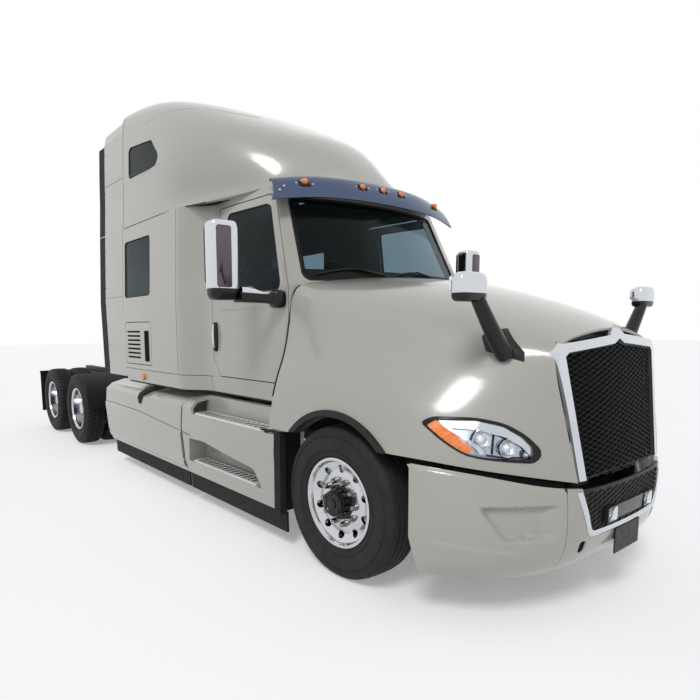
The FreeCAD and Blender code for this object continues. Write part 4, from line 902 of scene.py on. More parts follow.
def add_door_mirror(word, side):
    """Chrome shell with its glass to the rear, on a black base, arm and foot."""
    body = "door_" + word
    x, y = -0.893, side * 1.4565
    half = (0.074, 0.1115)
    bm = bmesh.new()
    add_stack(bm, x, y, half, ((1.928, 0.985), (1.945, 1.0), (2.352, 1.0), (2.378, 0.97), (2.392, 0.91),
                               (2.400, 0.80), (2.4015, 0.6)), 4.5)
    finished(bm, "mirror_shell_" + word, body, chrome, 50, "door_fittings_" + word)
    # The front panel's darker chrome is a painted reflection.
    bm = bmesh.new()
    add_plate(bm, rounded_box(y + side * 0.024, 0.060, 1.934, 2.362, 0.022), -0.850, -0.8165, 0.0015)
    finished(bm, "mirror_front_reflection_" + word, body, chrome_painted_reflection)
    bm = bmesh.new()
    add_plate(bm, rounded_box(y, 0.104, 1.955, 2.378, 0.04), -0.9695, -0.930, 0.004)
    finished(bm, "mirror_bezel_" + word, body, black_plastic)
    bm = bmesh.new()
    for low, high in ((2.115, 2.366), (1.968, 2.103)):
        add_plate(bm, rounded_box(y, 0.091, low, high, 0.022), -0.9725, -0.965, 0.001)
    finished(bm, "mirror_glass_" + word, body, mirror_silver)
    bm = bmesh.new()
    add_stack(bm, x, y, half, ((1.9285, 0.99), (1.905, 1.0), (1.880, 0.97), (1.858, 0.86), (1.848, 0.70)), 3.5)
    add_stalk(bm, side, ((1.350, -0.868, 0.062, 0.040, 1.872), (1.270, -0.832, 0.060, 0.038, 1.868),
                         (1.190, -0.788, 0.056, 0.036, 1.862), (1.120, -0.752, 0.052, 0.040, 1.858)), 3.2)
    foot = ((1.0475, 0.056, 0.062), (1.075, 0.062, 0.068), (1.105, 0.060, 0.066), (1.128, 0.050, 0.056),
            (1.140, 0.032, 0.038))
    add_stalk(bm, side, [(out, -0.738, wide, tall, 1.856) for out, wide, tall in foot], 3.6)
    finished(bm, "mirror_arm_" + word, body, gloss_black, 50)
    bm = bmesh.new()
    add_stalk(bm, side, ((1.338, -0.866, 0.052, 0.030, 1.915), (1.300, -0.848, 0.052, 0.030, 1.915),
                         (1.255, -0.824, 0.050, 0.026, 1.910), (1.215, -0.802, 0.048, 0.016, 1.900),
                         (1.165, -0.774, 0.044, 0.008, 1.896)), 3.2)
    finished(bm, "mirror_arm_cap_" + word, body, chrome, 50)


def add_door_handle(word, side):
    """Black oval plate with a chrome grip over it."""
    body = "door_" + word
    x = -1.721
    plate = ((1.047, 0.031, 0.130), (1.062, 0.031, 0.130), (1.072, 0.027, 0.122), (1.075, 0.020, 0.110))
    bm = bmesh.new()
    add_stalk(bm, side, [(out, x, wide, tall, 1.570) for out, wide, tall in plate], 2.8, 40)
    finished(bm, "door_handle_" + word, body, gloss_black, 50)
    grip = []
    for share in steps(0, 1, 9):
        bow = math.sin(math.pi * share)
        grip.append(at(x + 0.008 * bow, side * (1.073 + 0.012 * bow), 1.475 + 0.205 * share))
    bm = bmesh.new()
    add_tube(bm, grip, [0.006, 0.010, 0.012, 0.012, 0.012, 0.012, 0.012, 0.010, 0.006])
    finished(bm, "door_grip_" + word, body, chrome)


def add_hood_mirror(word, side):
    """Chrome cap over a black base, its glass to the rear, on a stout arm that grows from the hood."""
    x, y = 0.890, side * 1.063
    half = (0.050, 0.114)
    bm = bmesh.new()
    add_stack(bm, x, y, half, ((1.812, 0.99), (1.822, 1.0), (1.870, 1.0), (1.893, 0.95), (1.908, 0.84),
                               (1.916, 0.62), (1.9175, 0.4)), 3.4, 40)
    finished(bm, "hood_mirror_cap_" + word, "hood", chrome, 60, "hood_mirrors")
    bm = bmesh.new()
    add_stack(bm, x, y, half, ((1.770, 0.72), (1.776, 0.88), (1.790, 0.97), (1.811, 0.985)), 3.4, 40)
    shares = steps(0, 1, 11)
    arm = [at(0.905, side * (0.745 + 0.270 * share), 1.490 + 0.300 * share ** 1.12) for share in shares]
    add_tube(bm, arm, [0.050 - 0.014 * share for share in shares], 24)
    finished(bm, "hood_mirror_arm_" + word, "hood", gloss_black, 50)
    # Black pad on the hood round the arm's foot: partly the real foot, partly a painted shadow of the mirror.
    bm = bmesh.new()
    low_line = [(0.762, 1.585), (0.812, 1.504), (0.995, 1.452)]
    high_line = [(0.768, 1.606), (0.850, 1.630), (0.985, 1.500)]
    add_patch(bm, tree_of("hood_shell"), low_line, high_line, word, (16, 12), 0.006, 0.005,
              lambda a, b, u, v: 0.014 * math.sin(math.pi * a) * math.sin(math.pi * b))
    finished(bm, "hood_mirror_pad_and_shadow_" + word, "hood", black_plastic, 50)
    bm = bmesh.new()
    add_plate(bm, rounded_box(y, 0.098, 1.822, 1.900, 0.02), 0.8385, 0.850, 0.001)
    finished(bm, "hood_mirror_glass_" + word, "hood", mirror_silver)


# Headlamps, grille and bumper

def toward_lamp_middle(points, share):
    """Points moved toward the headlamp's middle by a share."""
    return [tuple(Vector(p).lerp(Vector(lamp_middle), share)) for p in points]


def add_headlamp_rim(word, tree):
    """Black rim between the lens and the hood."""
    around = tree_of("headlamps", "hood_shell")
    closed = rounded(lamp_outline, 0.08, 5)
    rows = []
    for outside, within in zip(toward_lamp_middle(closed, -0.035), toward_lamp_middle(closed, 0.085)):
        rows.append([lifted(around, *outside, word, lift, lamp_middle) for lift in (-0.004, 0.003)]
                    + [lifted(tree, *within, word, lift, lamp_middle) for lift in (0.0035, -0.004, -0.042)]
                    + [lifted(around, *outside, word, -0.042, lamp_middle)])
    bm = bmesh.new()
    add_loft(bm, rows, True)
    finished(bm, "headlamp_rim_" + word, "hood", gloss_black, 40)


def add_headlamp(word, side):
    """Clear lens over a smoked bowl with lamp units, a chrome brow and an amber strip."""
    tree = tree_of("headlamps")
    low_line = lamp_outline[:1] + lamp_outline[:5:-1]
    high_line = lamp_outline[:6]
    for name, share, lift, material, node in (("lens", 0.03, 0.0012, lamp_glass, "headlamps"),
                                              ("bowl", 0.02, -0.040, smoked, None)):
        bm = bmesh.new()
        add_patch(bm, tree, toward_lamp_middle(low_line, share), toward_lamp_middle(high_line, share), word,
                  (36, 16), lift, 0.003)
        finished(bm, "headlamp_%s_%s" % (name, word), "hood", material, 50, node)
    add_headlamp_rim(word, tree)

    bm = bmesh.new()
    strip_low = [(0.650, 1.106), (0.765, 1.013), (0.853, 0.958)]
    strip_high = [(0.690, 1.134), (0.795, 1.058), (0.872, 0.985)]
    add_patch(bm, tree, strip_low, strip_high, word, (24, 6), -0.007, 0.012,
              lambda a, b, u, v: 0.002 * math.sin(24 * math.pi * a))
    finished(bm, "turn_signal_" + word, "hood", amber, 20)

    bm = bmesh.new()
    brow_low = [(0.735, 1.098), (0.870, 1.090), (0.985, 1.052), (1.045, 1.000), (1.078, 0.950)]
    brow_high = [(0.700, 1.134), (0.862, 1.137), (0.970, 1.106), (1.040, 1.050), (1.086, 0.990)]
    add_patch(bm, tree, brow_low, brow_high, word, (28, 6), -0.012, 0.004)
    divider_low = [(0.712, 1.112), (0.812, 1.052), (0.885, 0.985), (0.900, 0.957)]
    divider_high = [(0.722, 1.120), (0.828, 1.060), (0.902, 0.993), (0.918, 0.962)]
    add_patch(bm, tree, divider_low, divider_high, word, (20, 4), -0.008, 0.004)
    finished(bm, "headlamp_brow_" + word, "hood", chrome, 50)

    bm = bmesh.new()
    for points in ([(0.735, 1.090), (0.800, 1.048), (0.850, 0.990)],
                   [(0.770, 1.105), (0.905, 1.092), (1.010, 1.030)],
                   [(0.945, 1.075), (0.950, 0.955)], [(0.930, 0.950), (1.000, 0.935), (1.075, 0.935)]):
        line = [lifted(tree, u, v, word, -0.030, lamp_middle) for u, v in resampled(points, 12)]
        add_tube(bm, line, 0.004, 6)
    finished(bm, "headlamp_lines_" + word, "hood", gloss_black, 40)
    for number, place in enumerate(((0.895, 1.040, 0.052), (0.995, 0.992, 0.047), (1.062, 0.955, 0.022)), 1):
        add_lamp_unit(tree, "%d_%s" % (number, word), word, side, *place)


def add_lamp_unit(tree, label, word, side, u, v, radius):
    """Chrome reflector that looks forward, with a bulb in it, as profiles of (offset, share of the radius)."""
    spot, normal = landed(tree, u, v, word)
    turn = (normal * 0.5 + Vector((0.9, side * 0.25, 0))).normalized().to_track_quat("Z", "Y").to_matrix()
    base = spot - normal * 0.036
    reflector = ((0.000, 0.25), (0.004, 0.55), (0.011, 0.80), (0.019, 0.95), (0.024, 1.0), (0.024, 1.07),
                 (0.004, 1.07))
    bulb = ((0.004, 0.52), (0.012, 0.50), (0.020, 0.42), (0.026, 0.26), (0.028, 0.05))
    for name, profile, sides, material, angle in (("lamp_reflector_", reflector, 28, chrome, 40),
                                                  ("lamp_bulb_", bulb, 24, lamp_white, 60)):
        bm = bmesh.new()
        add_loft(bm, [[base + turn @ Vector((a, b, ahead)) for a, b in circle(sides, radius * share)]
                      for ahead, share in profile])
        finished(bm, name + label, "hood", material, angle)


def add_wave_mesh(bm, tree, outline, low_z, high_z, radius, lift):
    """Rows of wavy bars that touch at their crests, within an outline."""
    row, z = 0, low_z
    while z < high_z:
        runs = [[]]
        y = -mesh_reach
        while y <= mesh_reach:
            bar_z = z + mesh_pitch * 0.46 * math.cos(2 * math.pi * y / mesh_wave + math.pi * (row % 2))
            if inside(outline, y, bar_z):
                runs[-1].append(lifted(tree, y, bar_z, "front", lift))
            else:
                runs.append([])
            y += mesh_wave / 8
        for run in runs:
            add_tube(bm, run, radius, 5)
        z += mesh_pitch
        row += 1


def grille_x(y, z):
    """Forward place of the grille mesh, bowed across and leaning back upward."""
    edge_y = 0.530 + 0.105 * ramp(0.800, 1.640, z)
    return 1.238 - 0.118 * (z - 0.800) / 0.840 + 0.052 * (1 - (y / edge_y) ** 2) - 0.022


def add_grille():
    """Fine wavy mesh in front of a black screen that paints the shade behind it, in place of the plain lattice.
    """
    sheet = bmesh.new()
    add_skin(sheet, [[sheet.verts.new(at(grille_x(y, z), y, z)) for y in steps(-mesh_reach, mesh_reach, 25)]
                     for z in steps(0.790, 1.590, 28)], False)
    tree = BVHTree.FromBMesh(sheet)
    sheet.free()
    bm = bmesh.new()
    add_wave_mesh(bm, tree, grille_hole, 0.80, 1.60, 0.0029, 0.0)
    finished(bm, "grille_wave_mesh", "hood", mesh_black, 60, "grille_mesh")
    bm = bmesh.new()
    foot_z = grille_hole[0][1]
    edge = [lifted(tree, y * 0.985, foot_z + (z - foot_z) * 0.99 + 0.003, "front") for y, z in grille_hole]
    add_tube(bm, edge, 0.010, 8, True)
    finished(bm, "grille_mesh_frame", "hood", black_plastic, 60)
    # Black sheet behind the mesh: painted shade.
    bm = bmesh.new()
    rows = []
    for z in steps(0.800, 1.555, 28):
        half = 0.462 + 0.100 * ramp(0.806, 1.478, z)
        rows.append([bm.verts.new(at(grille_x(y, z) - 0.030, y, z)) for y in steps(-half, half, 13)])
    add_skin(bm, rows, False)
    thicken(finished(bm, "grille_shade_screen", "hood", black_and_painted_shade, 60), 0.004)


def bumper_relief(u, z, top_z):
    """Height of the bumper's corner against its plain face: pressed recess, low crease, rolled top."""
    slant_u = -0.052 + 0.75 * (0.690 - z)
    recess = ramp(slant_u, slant_u + 0.038, u) * ramp(0.500, 0.528, z) * (1 - ramp(0.674, 0.694, z))
    crease_z = 0.470 - 0.09 * u
    crease = 0.008 * (1 - smooth_step(crease_z - 0.012, crease_z, z)) * smooth_step(0.30, 0.36, z)
    roll = smooth_step(top_z - 0.035, top_z, z)
    return (crease * (1 - smooth_step(0.10, 0.25, u)) * smooth_step(-0.36, -0.20, u)
            - 0.044 * recess * (1 - smooth_step(0.30, 0.415, u)) - 0.014 * roll * roll)


def cut_upright(bm, side, y, keep_outer):
    """Cut a form along a plane at a distance from the vehicle's middle, and close the cut."""
    cut = bmesh.ops.bisect_plane(bm, geom=bm.verts[:] + bm.edges[:] + bm.faces[:], plane_co=(0, side * y, 0),
                                 plane_no=(0, side, 0), clear_outer=not keep_outer, clear_inner=keep_outer)
    edges = [item for item in cut["geom_cut"] if isinstance(item, bmesh.types.BMEdge)]
    bmesh.ops.edgenet_fill(bm, edges=edges)


def add_bumper():
    """Bumper in three parts: the solid's own middle, and two corners with their pressed recess."""
    bm = bmesh.new()
    bm.from_mesh(nodes["bumper"].data)
    for word, side in SIDES:
        cut_upright(bm, side, corner_seam_y - 0.0012, False)
    finished(bm, "bumper_middle", "chassis", paint, 30, "bumper")
    tree = tree_of("bumper")
    for word, side in SIDES:
        view = "corner_" + word
        across = steps(-0.3995, 0.475, 60)
        low_line = [(u, edge_between(tree, view, (u, 0.50), (u, 0.20)).y + 0.001) for u in across]
        high_line = [(u, edge_between(tree, view, (u, 0.72), (u, 1.00)).y - 0.001) for u in across]

        def relief(a, b, u, v):
            return bumper_relief(u, v, high_line[round(a * 59)][1])

        bm = bmesh.new()
        add_patch(bm, tree, low_line, high_line, view, (110, 64), 0.0004, 0.016, relief)
        cut_upright(bm, side, corner_seam_y + 0.0015, True)
        finished(bm, "bumper_corner_" + word, "chassis", paint, 40)


def add_front_trim():
    """Bright frame of the lower grille, its wavy mesh, a brown cover and black screens that paint the shade in
    the tow holes.
    """
    bumper = tree_of("bumper", "lower_grille")
    outer = rounded([(-0.548, 0.752), (-0.436, 0.480), (0.436, 0.480), (0.548, 0.752)], 0.05, closed=False)
    inner = rounded([(-0.512, 0.752), (-0.408, 0.512), (0.408, 0.512), (0.512, 0.752)], 0.035, closed=False)
    bm = bmesh.new()
    add_patch(bm, bumper, outer, inner, "front", (90, 5), 0.004, 0.006,
              lambda a, b, u, v: 0.005 * math.sin(math.pi * b))
    finished(bm, "lower_grille_frame", "chassis", chrome, 50)
    panel = tree_of("lower_grille")
    bm = bmesh.new()
    outline = [(-0.400, 0.512), (-0.500, 0.755), (0.500, 0.755), (0.400, 0.512)]
    add_wave_mesh(bm, panel, outline, 0.520, 0.745, 0.0030, 0.003)
    finished(bm, "lower_grille_mesh", "chassis", mesh_black, 60)
    bm = bmesh.new()
    add_patch(bm, panel, level(0.175, 0.545), level(0.175, 0.628), "front", (20, 8), 0.012, 0.012)
    finished(bm, "sensor_cover", "chassis", cover_brown, 40)
    # Black screens inside the tow holes: painted shade.
    bm = bmesh.new()
    hole = ((0.434, 0.387), (0.506, 0.387), (0.506, 0.473), (0.434, 0.473))
    for side in (-1, 1):
        add_loft(bm, [[lifted(bumper, side * y, z, "front", lift) for y, z in hole]
                      for lift in (-0.004, -0.014)])
    finished(bm, "tow_hole_shade_screens", "chassis", black_and_painted_shade, 40)


def add_bumper_seal(word, side):
    """Dark strip that closes the gap between the bumper's corner and the hood, its matte black a painted shade
    of the gap.
    """
    hood = tree_of("hood_shell", "headlamps")
    bumper = tree_of("bumper")
    view = "corner_" + word
    bm = bmesh.new()
    rows = []
    for u in steps(-0.39, 0.425, 70):
        low_z = edge_between(bumper, view, (u, 0.72), (u, 1.00)).y - 0.012
        high_z = edge_between(hood, view, (u, 0.89), (u, 0.60)).y - 0.002
        low = lifted(bumper, u, low_z, view, -0.018)
        spot, normal = landed(hood, u, high_z + 0.006, view)
        if low is None or spot is None or high_z < low_z + 0.01:
            continue
        high = Vector((spot.x, spot.y, high_z)) - normal * 0.012
        rows.append([bm.verts.new(low), bm.verts.new(high)])
    add_skin(bm, rows, False)
    # Matte black strip: painted shade of the gap.
    seal = finished(bm, "bumper_seal_and_shade_" + word, "chassis", black_and_painted_shade, 60, slot="black_rubber")
    thicken(seal, 0.005)


def add_fog_lamp(word, side):
    """Rounded square lamp: black bezel, bright bowl and clear lens."""
    panel = tree_of("lower_grille")
    y = side * fog_y
    spots = [lifted(panel, y + offset, z, "front") for offset in (-0.064, 0.064) for z in (0.54, 0.63)]
    back_x = min(spot.x for spot in spots if spot is not None) - 0.02
    front_x = max(spot.x for spot in spots if spot is not None) + 0.014
    outer = rounded_box(y, 0.064, 0.537, 0.631, 0.022)
    hole = rounded_box(y, 0.056, 0.544, 0.624, 0.018)

    def shrunk(scale):
        return [(y + (a - y) * scale, fog_z + (b - fog_z) * scale) for a, b in hole]

    bezel = ((back_x, outer), (front_x, outer), (front_x + 0.002, hole), (back_x + 0.003, hole))
    bowl = [(front_x + ahead, shrunk(scale)) for ahead, scale in
            ((-0.014, 0.15), (-0.012, 0.6), (-0.001, 0.98), (0, 0.98), (0, 1.0), (-0.016, 1.0))]
    bm = bmesh.new()
    add_loft(bm, [[(x, a, b) for a, b in line] for x, line in bezel])
    finished(bm, "fog_bezel_" + word, "chassis", black_plastic, 30, "fog_lamps" if word == "right" else None)
    bm = bmesh.new()
    add_loft(bm, [[(x, a, b) for a, b in line] for x, line in bowl])
    finished(bm, "fog_bowl_" + word, "chassis", lamp_white, 30, slot="chrome_trim")
    bm = bmesh.new()
    add_prism(bm, shrunk(0.97), front_x - 0.002, front_x + 0.003, "x", 0.001)
    finished(bm, "fog_lens_" + word, "chassis", lamp_glass, 30)


def add_tail_lamp(word, side):
    """Red lens over a rear lamp."""
    low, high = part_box("marker_lamps")
    profile = ((0.020, 0.0005), (0.020, 0.0435), (0.003, 0.0435), (-0.002, 0.038), (-0.004, 0.018),
               (-0.004, 0.0005))
    bm = bmesh.new()
    add_turned(bm, [(low.x + along, radius) for along, radius in profile], (0, side * 0.388, 0.800), "x", 48)
    finished(bm, "tail_lamp_" + word, "chassis", red_lens, 30)


# Fairings, steps and the side's small parts

def crease_height(x):
    for (x0, z0), (x1, z1) in zip(crease_line, crease_line[1:]):
        if x <= x1:
            return z0 + (z1 - z0) * (x - x0) / (x1 - x0)
    return crease_line[-1][1]


def fairing_relief(a, b, x, z):
    """Panel that stands proud below the crease, with a rolled rail at its foot."""
    crease = crease_height(x)
    panel = smooth_step(0.395, 0.43, z) * (1 - smooth_step(crease - 0.010, crease + 0.003, z))
    rail = smooth_step(0.325, 0.345, z) * (1 - smooth_step(0.385, 0.405, z))
    return 0.010 * panel + 0.011 * rail


def add_fairing_panels(word, side):
    """Pressed panel on the rear fairing, its painted shadow line, the step's crease and the wheel arch's strip.
    """
    fairing = tree_of("rear_fairings")
    step = tree_of("step_fairings")
    bm = bmesh.new()
    low_line, high_line = [[(-4.172, z), (-2.122, z)] for z in (0.318, 0.905)]
    add_patch(bm, fairing, low_line, high_line, word, (80, 90), 0.0006, 0.002, fairing_relief)
    finished(bm, "fairing_panel_" + word, "chassis", paint, 60)
    bm = bmesh.new()
    # Black beads painted as the shadow lines under the creases; the upright one at the fairing's rear edge is
    # the dark joint.
    shadow = [(x, z + 0.008) for x, z in crease_line[:2]] + [(-2.125, 0.685)]
    add_seam(bm, fairing, shadow, word, 0.0034, 0.03, 0.2)
    add_seam(bm, step, [(-2.10, 0.683), (-1.93, 0.668)], word, 0.0034, 0.03, 0.2)
    add_seam(bm, step, [(-2.099, 0.935), (-2.099, 0.330)], word, 0.0045, 0.02, 0.2)
    finished(bm, "crease_shadow_" + word, "chassis", black_rubber, 60)
    bm = bmesh.new()
    add_seam(bm, step, [(-2.10, 0.372), (-0.63, 0.372)], word, 0.006, 0.03, 0.4)
    finished(bm, "step_crease_" + word, "chassis", paint, 60)
    bm = bmesh.new()
    add_block(bm, at(-0.790, side * 1.185, 0.8862), at(-0.553, side * 1.227, 0.8940), 0.002)
    finished(bm, "arch_strip_" + word, "chassis", black_rubber, 40)


def add_step_shade_trays(word, side):
    """Black trays just under the slotted tops of the aluminium steps, painting the shade seen through the slots.
    """
    for name, x0, x1, top_z, outer_y in (("upper", -1.848, -0.772, 0.8845, 1.200),
                                         ("lower", -1.918, -0.912, 0.4325, 1.185)):
        bm = bmesh.new()
        # Black tray under the slots: painted shade.
        add_block(bm, at(x0, side * 1.060, top_z - 0.0045), at(x1, side * outer_y, top_z))
        finished(bm, "step_shade_tray_%s_%s" % (name, word), "chassis", black_plastic, 30)


def add_hold_down(word, side):
    """Black rubber latch that reaches from below the sleeper over the fairing's edge."""
    path = ((-3.105, 1.230, 0.835), (-3.100, 1.232, 0.880), (-3.070, 1.220, 0.930), (-3.010, 1.190, 0.968),
            (-2.940, 1.150, 0.998), (-2.860, 1.105, 1.020), (-2.800, 1.060, 1.034))
    rings = []
    for k, (x, y, z) in enumerate(path):
        half = 0.050 if k else 0.036
        rings.append([at(x + a, side * (y + 0.4 * b), z + 0.012 + b) for a, b in squarish(half, 0.022, 3.5, 24)])
    bm = bmesh.new()
    add_loft(bm, rings)
    finished(bm, "fairing_latch_" + word, "chassis", black_rubber, 50)


def add_extender_joints(word, side):
    """Panel joints and rivets of the side extenders and the split of their rubber."""
    panels = tree_of("side_extenders")
    split = bmesh.new()
    add_seam(split, tree_of("rubber_skirts"), [(-4.11, 2.750), (-4.32, 2.750)], word, 0.006)
    finished(split, "extender_split_" + word, "chassis", brushed)
    bm = bmesh.new()
    add_seam(bm, panels, [(-3.55, 3.300), (-4.09, 3.300)], word)
    add_seam(bm, panels, [(-3.55, 2.010), (-4.09, 2.010)], word, 0.002)
    for k in range(12):
        add_stud(bm, panels, -4.075, 1.25 + 0.22 * k, word, 0.001, 0.003, [0.007, 0.005])
    finished(bm, "extender_joints_" + word, "chassis", black_rubber)


def add_hatch_parts(word, side):
    """Black recessed pull with its frame, and black screens behind the hatch's louvres that paint the shade in
    them.
    """
    tree = tree_of("hatch_" + word)
    body = "hatch_" + word
    bm = bmesh.new()
    add_patch(bm, tree, [(-2.965, 1.305), (-2.850, 1.305)], [(-2.965, 1.625), (-2.850, 1.625)], word, (8, 14),
              0.0015, 0.002)
    finished(bm, "hatch_pull_" + word, body, black_and_painted_shade, 30)
    bm = bmesh.new()
    ring = [(-2.972, 1.300), (-2.972, 1.630), (-2.843, 1.630), (-2.843, 1.300), (-2.972, 1.300)]
    add_seam(bm, tree, ring, word, 0.005, 0.02, 0.4)
    finished(bm, "hatch_pull_frame_" + word, body, paint, 50)
    # Black screens behind the louvres: painted shade.
    bm = bmesh.new()
    for k in range(7):
        rise = 0.046 * k
        face = lifted(tree, -3.26, 1.322 + rise, word)
        if face is not None:
            for x0, x1 in ((-3.4385, -3.26), (-3.26, -3.0815)):
                add_block(bm, at(x0, face.y - side * 0.0065, 1.3315 + rise),
                          at(x1, face.y - side * 0.0030, 1.3485 + rise))
    finished(bm, "hatch_shade_screen_" + word, body, black_and_painted_shade, 30)


def add_hood_rear_seal(word, side):
    """Black rubber along the hood's rear edge and under the cab's skirt."""
    hood = tree_of("hood_shell")
    cab = tree_of("cab_shell", "door_panel_right", "door_panel_left")
    spots = []
    for z in steps(1.15, 1.95, 34):
        if landed(hood, -0.30, z, word)[0] is None:
            continue
        edge_x = edge_between(hood, word, (-0.30, z), (-0.80, z)).x
        spot = lifted(hood, edge_x + 0.001, z, word, -0.004)
        if spot is not None and edge_x < -0.35:
            spots.append(spot - Vector((0.004, 0, 0)))
    bm = bmesh.new()
    add_tube(bm, spots, 0.0100, 8)
    finished(bm, "hood_rear_seal_" + word, "hood", black_rubber, 60)
    spots = []
    for x in steps(-3.48, -0.66, 70):
        spot = lifted(cab, x, 1.100, word)
        if spot is not None:
            low_z = edge_between(cab, word, (x, 1.100), (x, 0.90)).y
            spots.append(Vector((spot.x, spot.y - side * 0.018, low_z - 0.006)))
    bm = bmesh.new()
    add_tube(bm, spots, 0.013, 8)
    finished(bm, "skirt_seal_" + word, "chassis", black_rubber, 60)


def add_tank_straps(word, side):
    """Three straps round each tank and a raised ring at each of its ends."""
    bm = bmesh.new()
    for x in (-3.75, -3.125, -2.50):
        strap = [(-0.025, 0.3102), (-0.025, 0.314), (0.025, 0.314), (0.025, 0.3102)]
        add_turned(bm, strap, at(x, side * tank_y, tank_z), "x", 64)
    for x in (-3.951, -2.299):
        add_turned(bm, [(0, 0.285), (0.002, 0.295), (0, 0.305)], at(x, side * tank_y, tank_z), "x", 64)
    finished(bm, "tank_straps_" + word, "chassis", polished, 30)


def add_rear_wall():
    """Panel joints, rivets and a plain connector plate on the sleeper's rear wall."""
    wall = tree_of("cab_shell", "roof_fairing")
    bm = bmesh.new()
    for y in (-0.62, 0, 0.62):
        add_seam(bm, wall, [(y, 1.16), (y, 3.62)], "rear", 0.003)
    for z in (1.98, 2.76):
        add_seam(bm, wall, level(1.10, z), "rear", 0.003)
    finished(bm, "rear_wall_joints", "chassis", black_rubber)
    bm = bmesh.new()
    for y in (-1.02, -0.66, -0.58, -0.04, 0.04, 0.58, 0.66, 1.02):
        for k in range(14):
            add_stud(bm, wall, y, 1.20 + 0.115 * k, "rear", 0.001, 0.0035, [0.0075, 0.005], 8)
    finished(bm, "rear_wall_rivets", "chassis", brushed)
    bm = bmesh.new()
    wall_x = lifted(wall, 0, 1.42, "rear").x
    add_prism(bm, rounded_box(0, 0.17, 1.34, 1.50, 0.02), wall_x - 0.010, wall_x + 0.001, "x", 0.002)
    socket = ((-0.008, 0.0005), (-0.008, 0.034), (-0.034, 0.030), (-0.040, 0.022), (-0.040, 0.0005))
    for y in (-0.11, 0, 0.11):
        add_turned(bm, socket, (wall_x, y, 1.42), "x", 32)
    finished(bm, "connector_plate", "chassis", black_plastic, 30)


def add_work_lamp(word, side):
    """Square lamp on the rear wall."""
    y = side * 0.80
    wall_x = lifted(tree_of("cab_shell", "roof_fairing"), y, 3.05, "rear").x
    bm = bmesh.new()
    add_prism(bm, rounded_box(y, 0.06, 3.00, 3.10, 0.02), wall_x - 0.045, wall_x + 0.004, "x", 0.004)
    finished(bm, "work_lamp_body_" + word, "chassis", black_plastic, 30)
    bm = bmesh.new()
    add_prism(bm, rounded_box(y, 0.050, 3.010, 3.090, 0.016), wall_x - 0.048, wall_x - 0.043, "x", 0.001)
    finished(bm, "work_lamp_face_" + word, "chassis", lamp_white, 30)


def add_rear_details():
    """Bolt heads along the frame rails and ribs on the deck plate."""
    bm = bmesh.new()
    for side in (-1, 1):
        for x in steps(-7.45, -3.325, 34):
            for z in (0.80, 0.93):
                add_tube(bm, [at(x, side * 0.430, z), at(x, side * 0.439, z)], 0.011, 6)
    finished(bm, "frame_bolts", "chassis", frame_black, 30)
    bm = bmesh.new()
    for y in steps(-0.36, 0.36, 7):
        add_tube(bm, [at(-4.63, y, 1.0095), at(-4.25, y, 1.0095)], 0.004, 6)
    finished(bm, "deck_ribs", "chassis", brushed, 30)


# Cab inside

def cushion(name, centre, half, turn, crown, channels, material, node=None):
    """Crowned soft block whose sides pull in, with sewn channels across its top face."""
    across, along = 72, 48
    rotation = Matrix.Rotation(turn, 3, "Y")

    def corner(polar, c, s):
        x = half[0] * signed_power(math.cos(polar), 0.42) * signed_power(c, 0.34)
        y = half[1] * signed_power(math.cos(polar), 0.42) * signed_power(s, 0.34)
        z = half[2] * signed_power(math.sin(polar), 0.55)
        dome = (1 - (x / half[0]) ** 2) * (1 - (y / half[1]) ** 2)
        pull = 1 - 0.035 * (1 - abs(x / half[0]) ** 4) * abs(y / half[1]) ** 8
        if z > 0:
            gaps = [(x if mark == "x" else y) - spot for mark, spot in channels]
            groove = max([math.exp(-(gap / 0.010) ** 2) for gap in gaps] + [0])
            z += crown * dome - 0.014 * groove * smooth_step(0, half[2] * 0.5, z)
        return bm.verts.new(Vector(centre) + rotation @ Vector((x, y * pull, z)))

    bm = bmesh.new()
    rows = [[corner(math.pi * (i / along - 0.5), c, s) for c, s in circle(across)] for i in range(1, along)]
    low, top = corner(-math.pi / 2, 1, 0), corner(math.pi / 2, 1, 0)
    add_skin(bm, rows)
    for k in range(across):
        after = (k + 1) % across
        bm.faces.new((low, rows[0][after], rows[0][k]))
        bm.faces.new((top, rows[-1][k], rows[-1][after]))
    finished(bm, name, "chassis", material, 70, node)


def add_seat(word, side):
    """Cushion, back and head rest of one seat, with its frame."""
    y = side * 0.480
    lean = math.radians(-80)
    cushion("seat_cushion_" + word, at(-1.555, y, 1.548), (0.243, 0.245, 0.066), 0, 0.022,
            (("x", 0.07), ("y", 0.15), ("y", -0.15)), seat_cloth, "seats" if word == "right" else None)
    cushion("seat_back_" + word, at(-1.792, y, 1.925), (0.290, 0.225, 0.050), lean, 0.010,
            (("x", 0.10), ("x", -0.10), ("y", 0.13), ("y", -0.13)), seat_cloth)
    cushion("head_rest_" + word, at(-1.850, y, 2.262), (0.062, 0.140, 0.045), lean, 0.006, (), seat_cloth)
    bm = bmesh.new()
    for offset in (-0.05, 0.05):
        add_tube(bm, [at(-1.832, y + offset, 2.14), at(-1.846, y + offset, 2.235)], 0.007, 10)
    add_block(bm, at(-1.790, y - 0.235, 1.4815), at(-1.320, y + 0.235, 1.500), 0.006)
    finished(bm, "seat_frame_" + word, "chassis", black_plastic, 40)


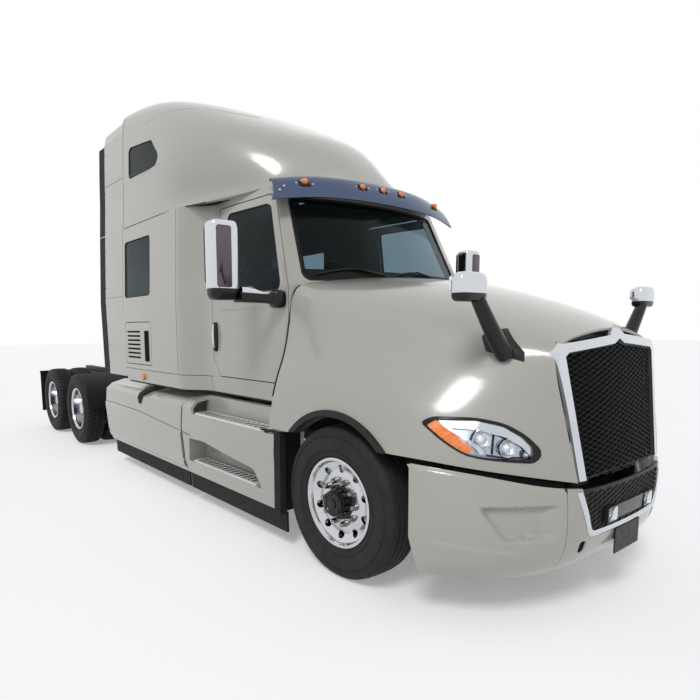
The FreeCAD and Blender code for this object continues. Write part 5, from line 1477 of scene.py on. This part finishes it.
def add_bunk():
    low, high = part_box("bunk")
    middle = (low + high) / 2 - Vector((0, 0, 0.008))
    half = (high - low) / 2 - Vector((0.004, 0.006, 0.010))
    channels = [("y", y) for y in (-0.72, -0.36, 0.0, 0.36, 0.72)] + [("x", 0.0)]
    cushion("bunk_mattress", middle, half, 0, 0.014, channels, bunk_cloth, "bunk")


def add_dashboard_parts():
    """Vents and round gauges on the dashboard."""
    tree = tree_of("dashboard")
    bm = bmesh.new()
    for y in (-0.62, -0.30, 0.12, 0.78):
        spot = lifted(tree, y, 1.80, "rear")
        if spot is None:
            continue
        add_prism(bm, rounded_box(y, 0.06, 1.765, 1.835, 0.015), spot.x - 0.006, spot.x + 0.01)
        for k in range(5):
            z = 1.777 + 0.0115 * k
            add_tube(bm, [(spot.x - 0.009, y - 0.05, z), (spot.x - 0.009, y + 0.05, z)], 0.0025, 6)
    finished(bm, "dash_vents", "chassis", black_plastic, 30)
    bm = bmesh.new()
    face_x = lifted(tree, 0.48, 1.80, "rear").x - 0.002
    for y, radius in ((0.39, 0.055), (0.57, 0.055), (0.48, 0.028)):
        add_turned(bm, [(0.004, 0.0005), (0.004, radius * 0.9), (-0.006, radius), (-0.008, radius * 0.96),
                        (-0.004, radius * 0.85), (-0.003, 0.0005)], (face_x, y, 1.815), "x", 40)
    finished(bm, "dash_gauges", "chassis", gloss_black, 30)


dress_all()
add_camera()
add_studio()
for add_parts in (add_windscreen_trim, add_visor_parts, add_grille, add_bumper, add_front_trim, add_rear_wall,
                  add_rear_details, add_bunk, add_dashboard_parts):
    add_parts()
for word, side in SIDES:
    for add_parts in (add_front_wheel, add_twin_wheels, add_door_mirror, add_door_handle, add_hood_mirror,
                      add_headlamp, add_hold_down, add_cab_seams, add_window_gaskets, add_bumper_seal,
                      add_fog_lamp, add_tail_lamp, add_fairing_panels, add_step_shade_trays, add_hood_rear_seal,
                      add_extender_joints, add_hatch_parts, add_tank_straps, add_work_lamp, add_seat):
        add_parts(word, side)
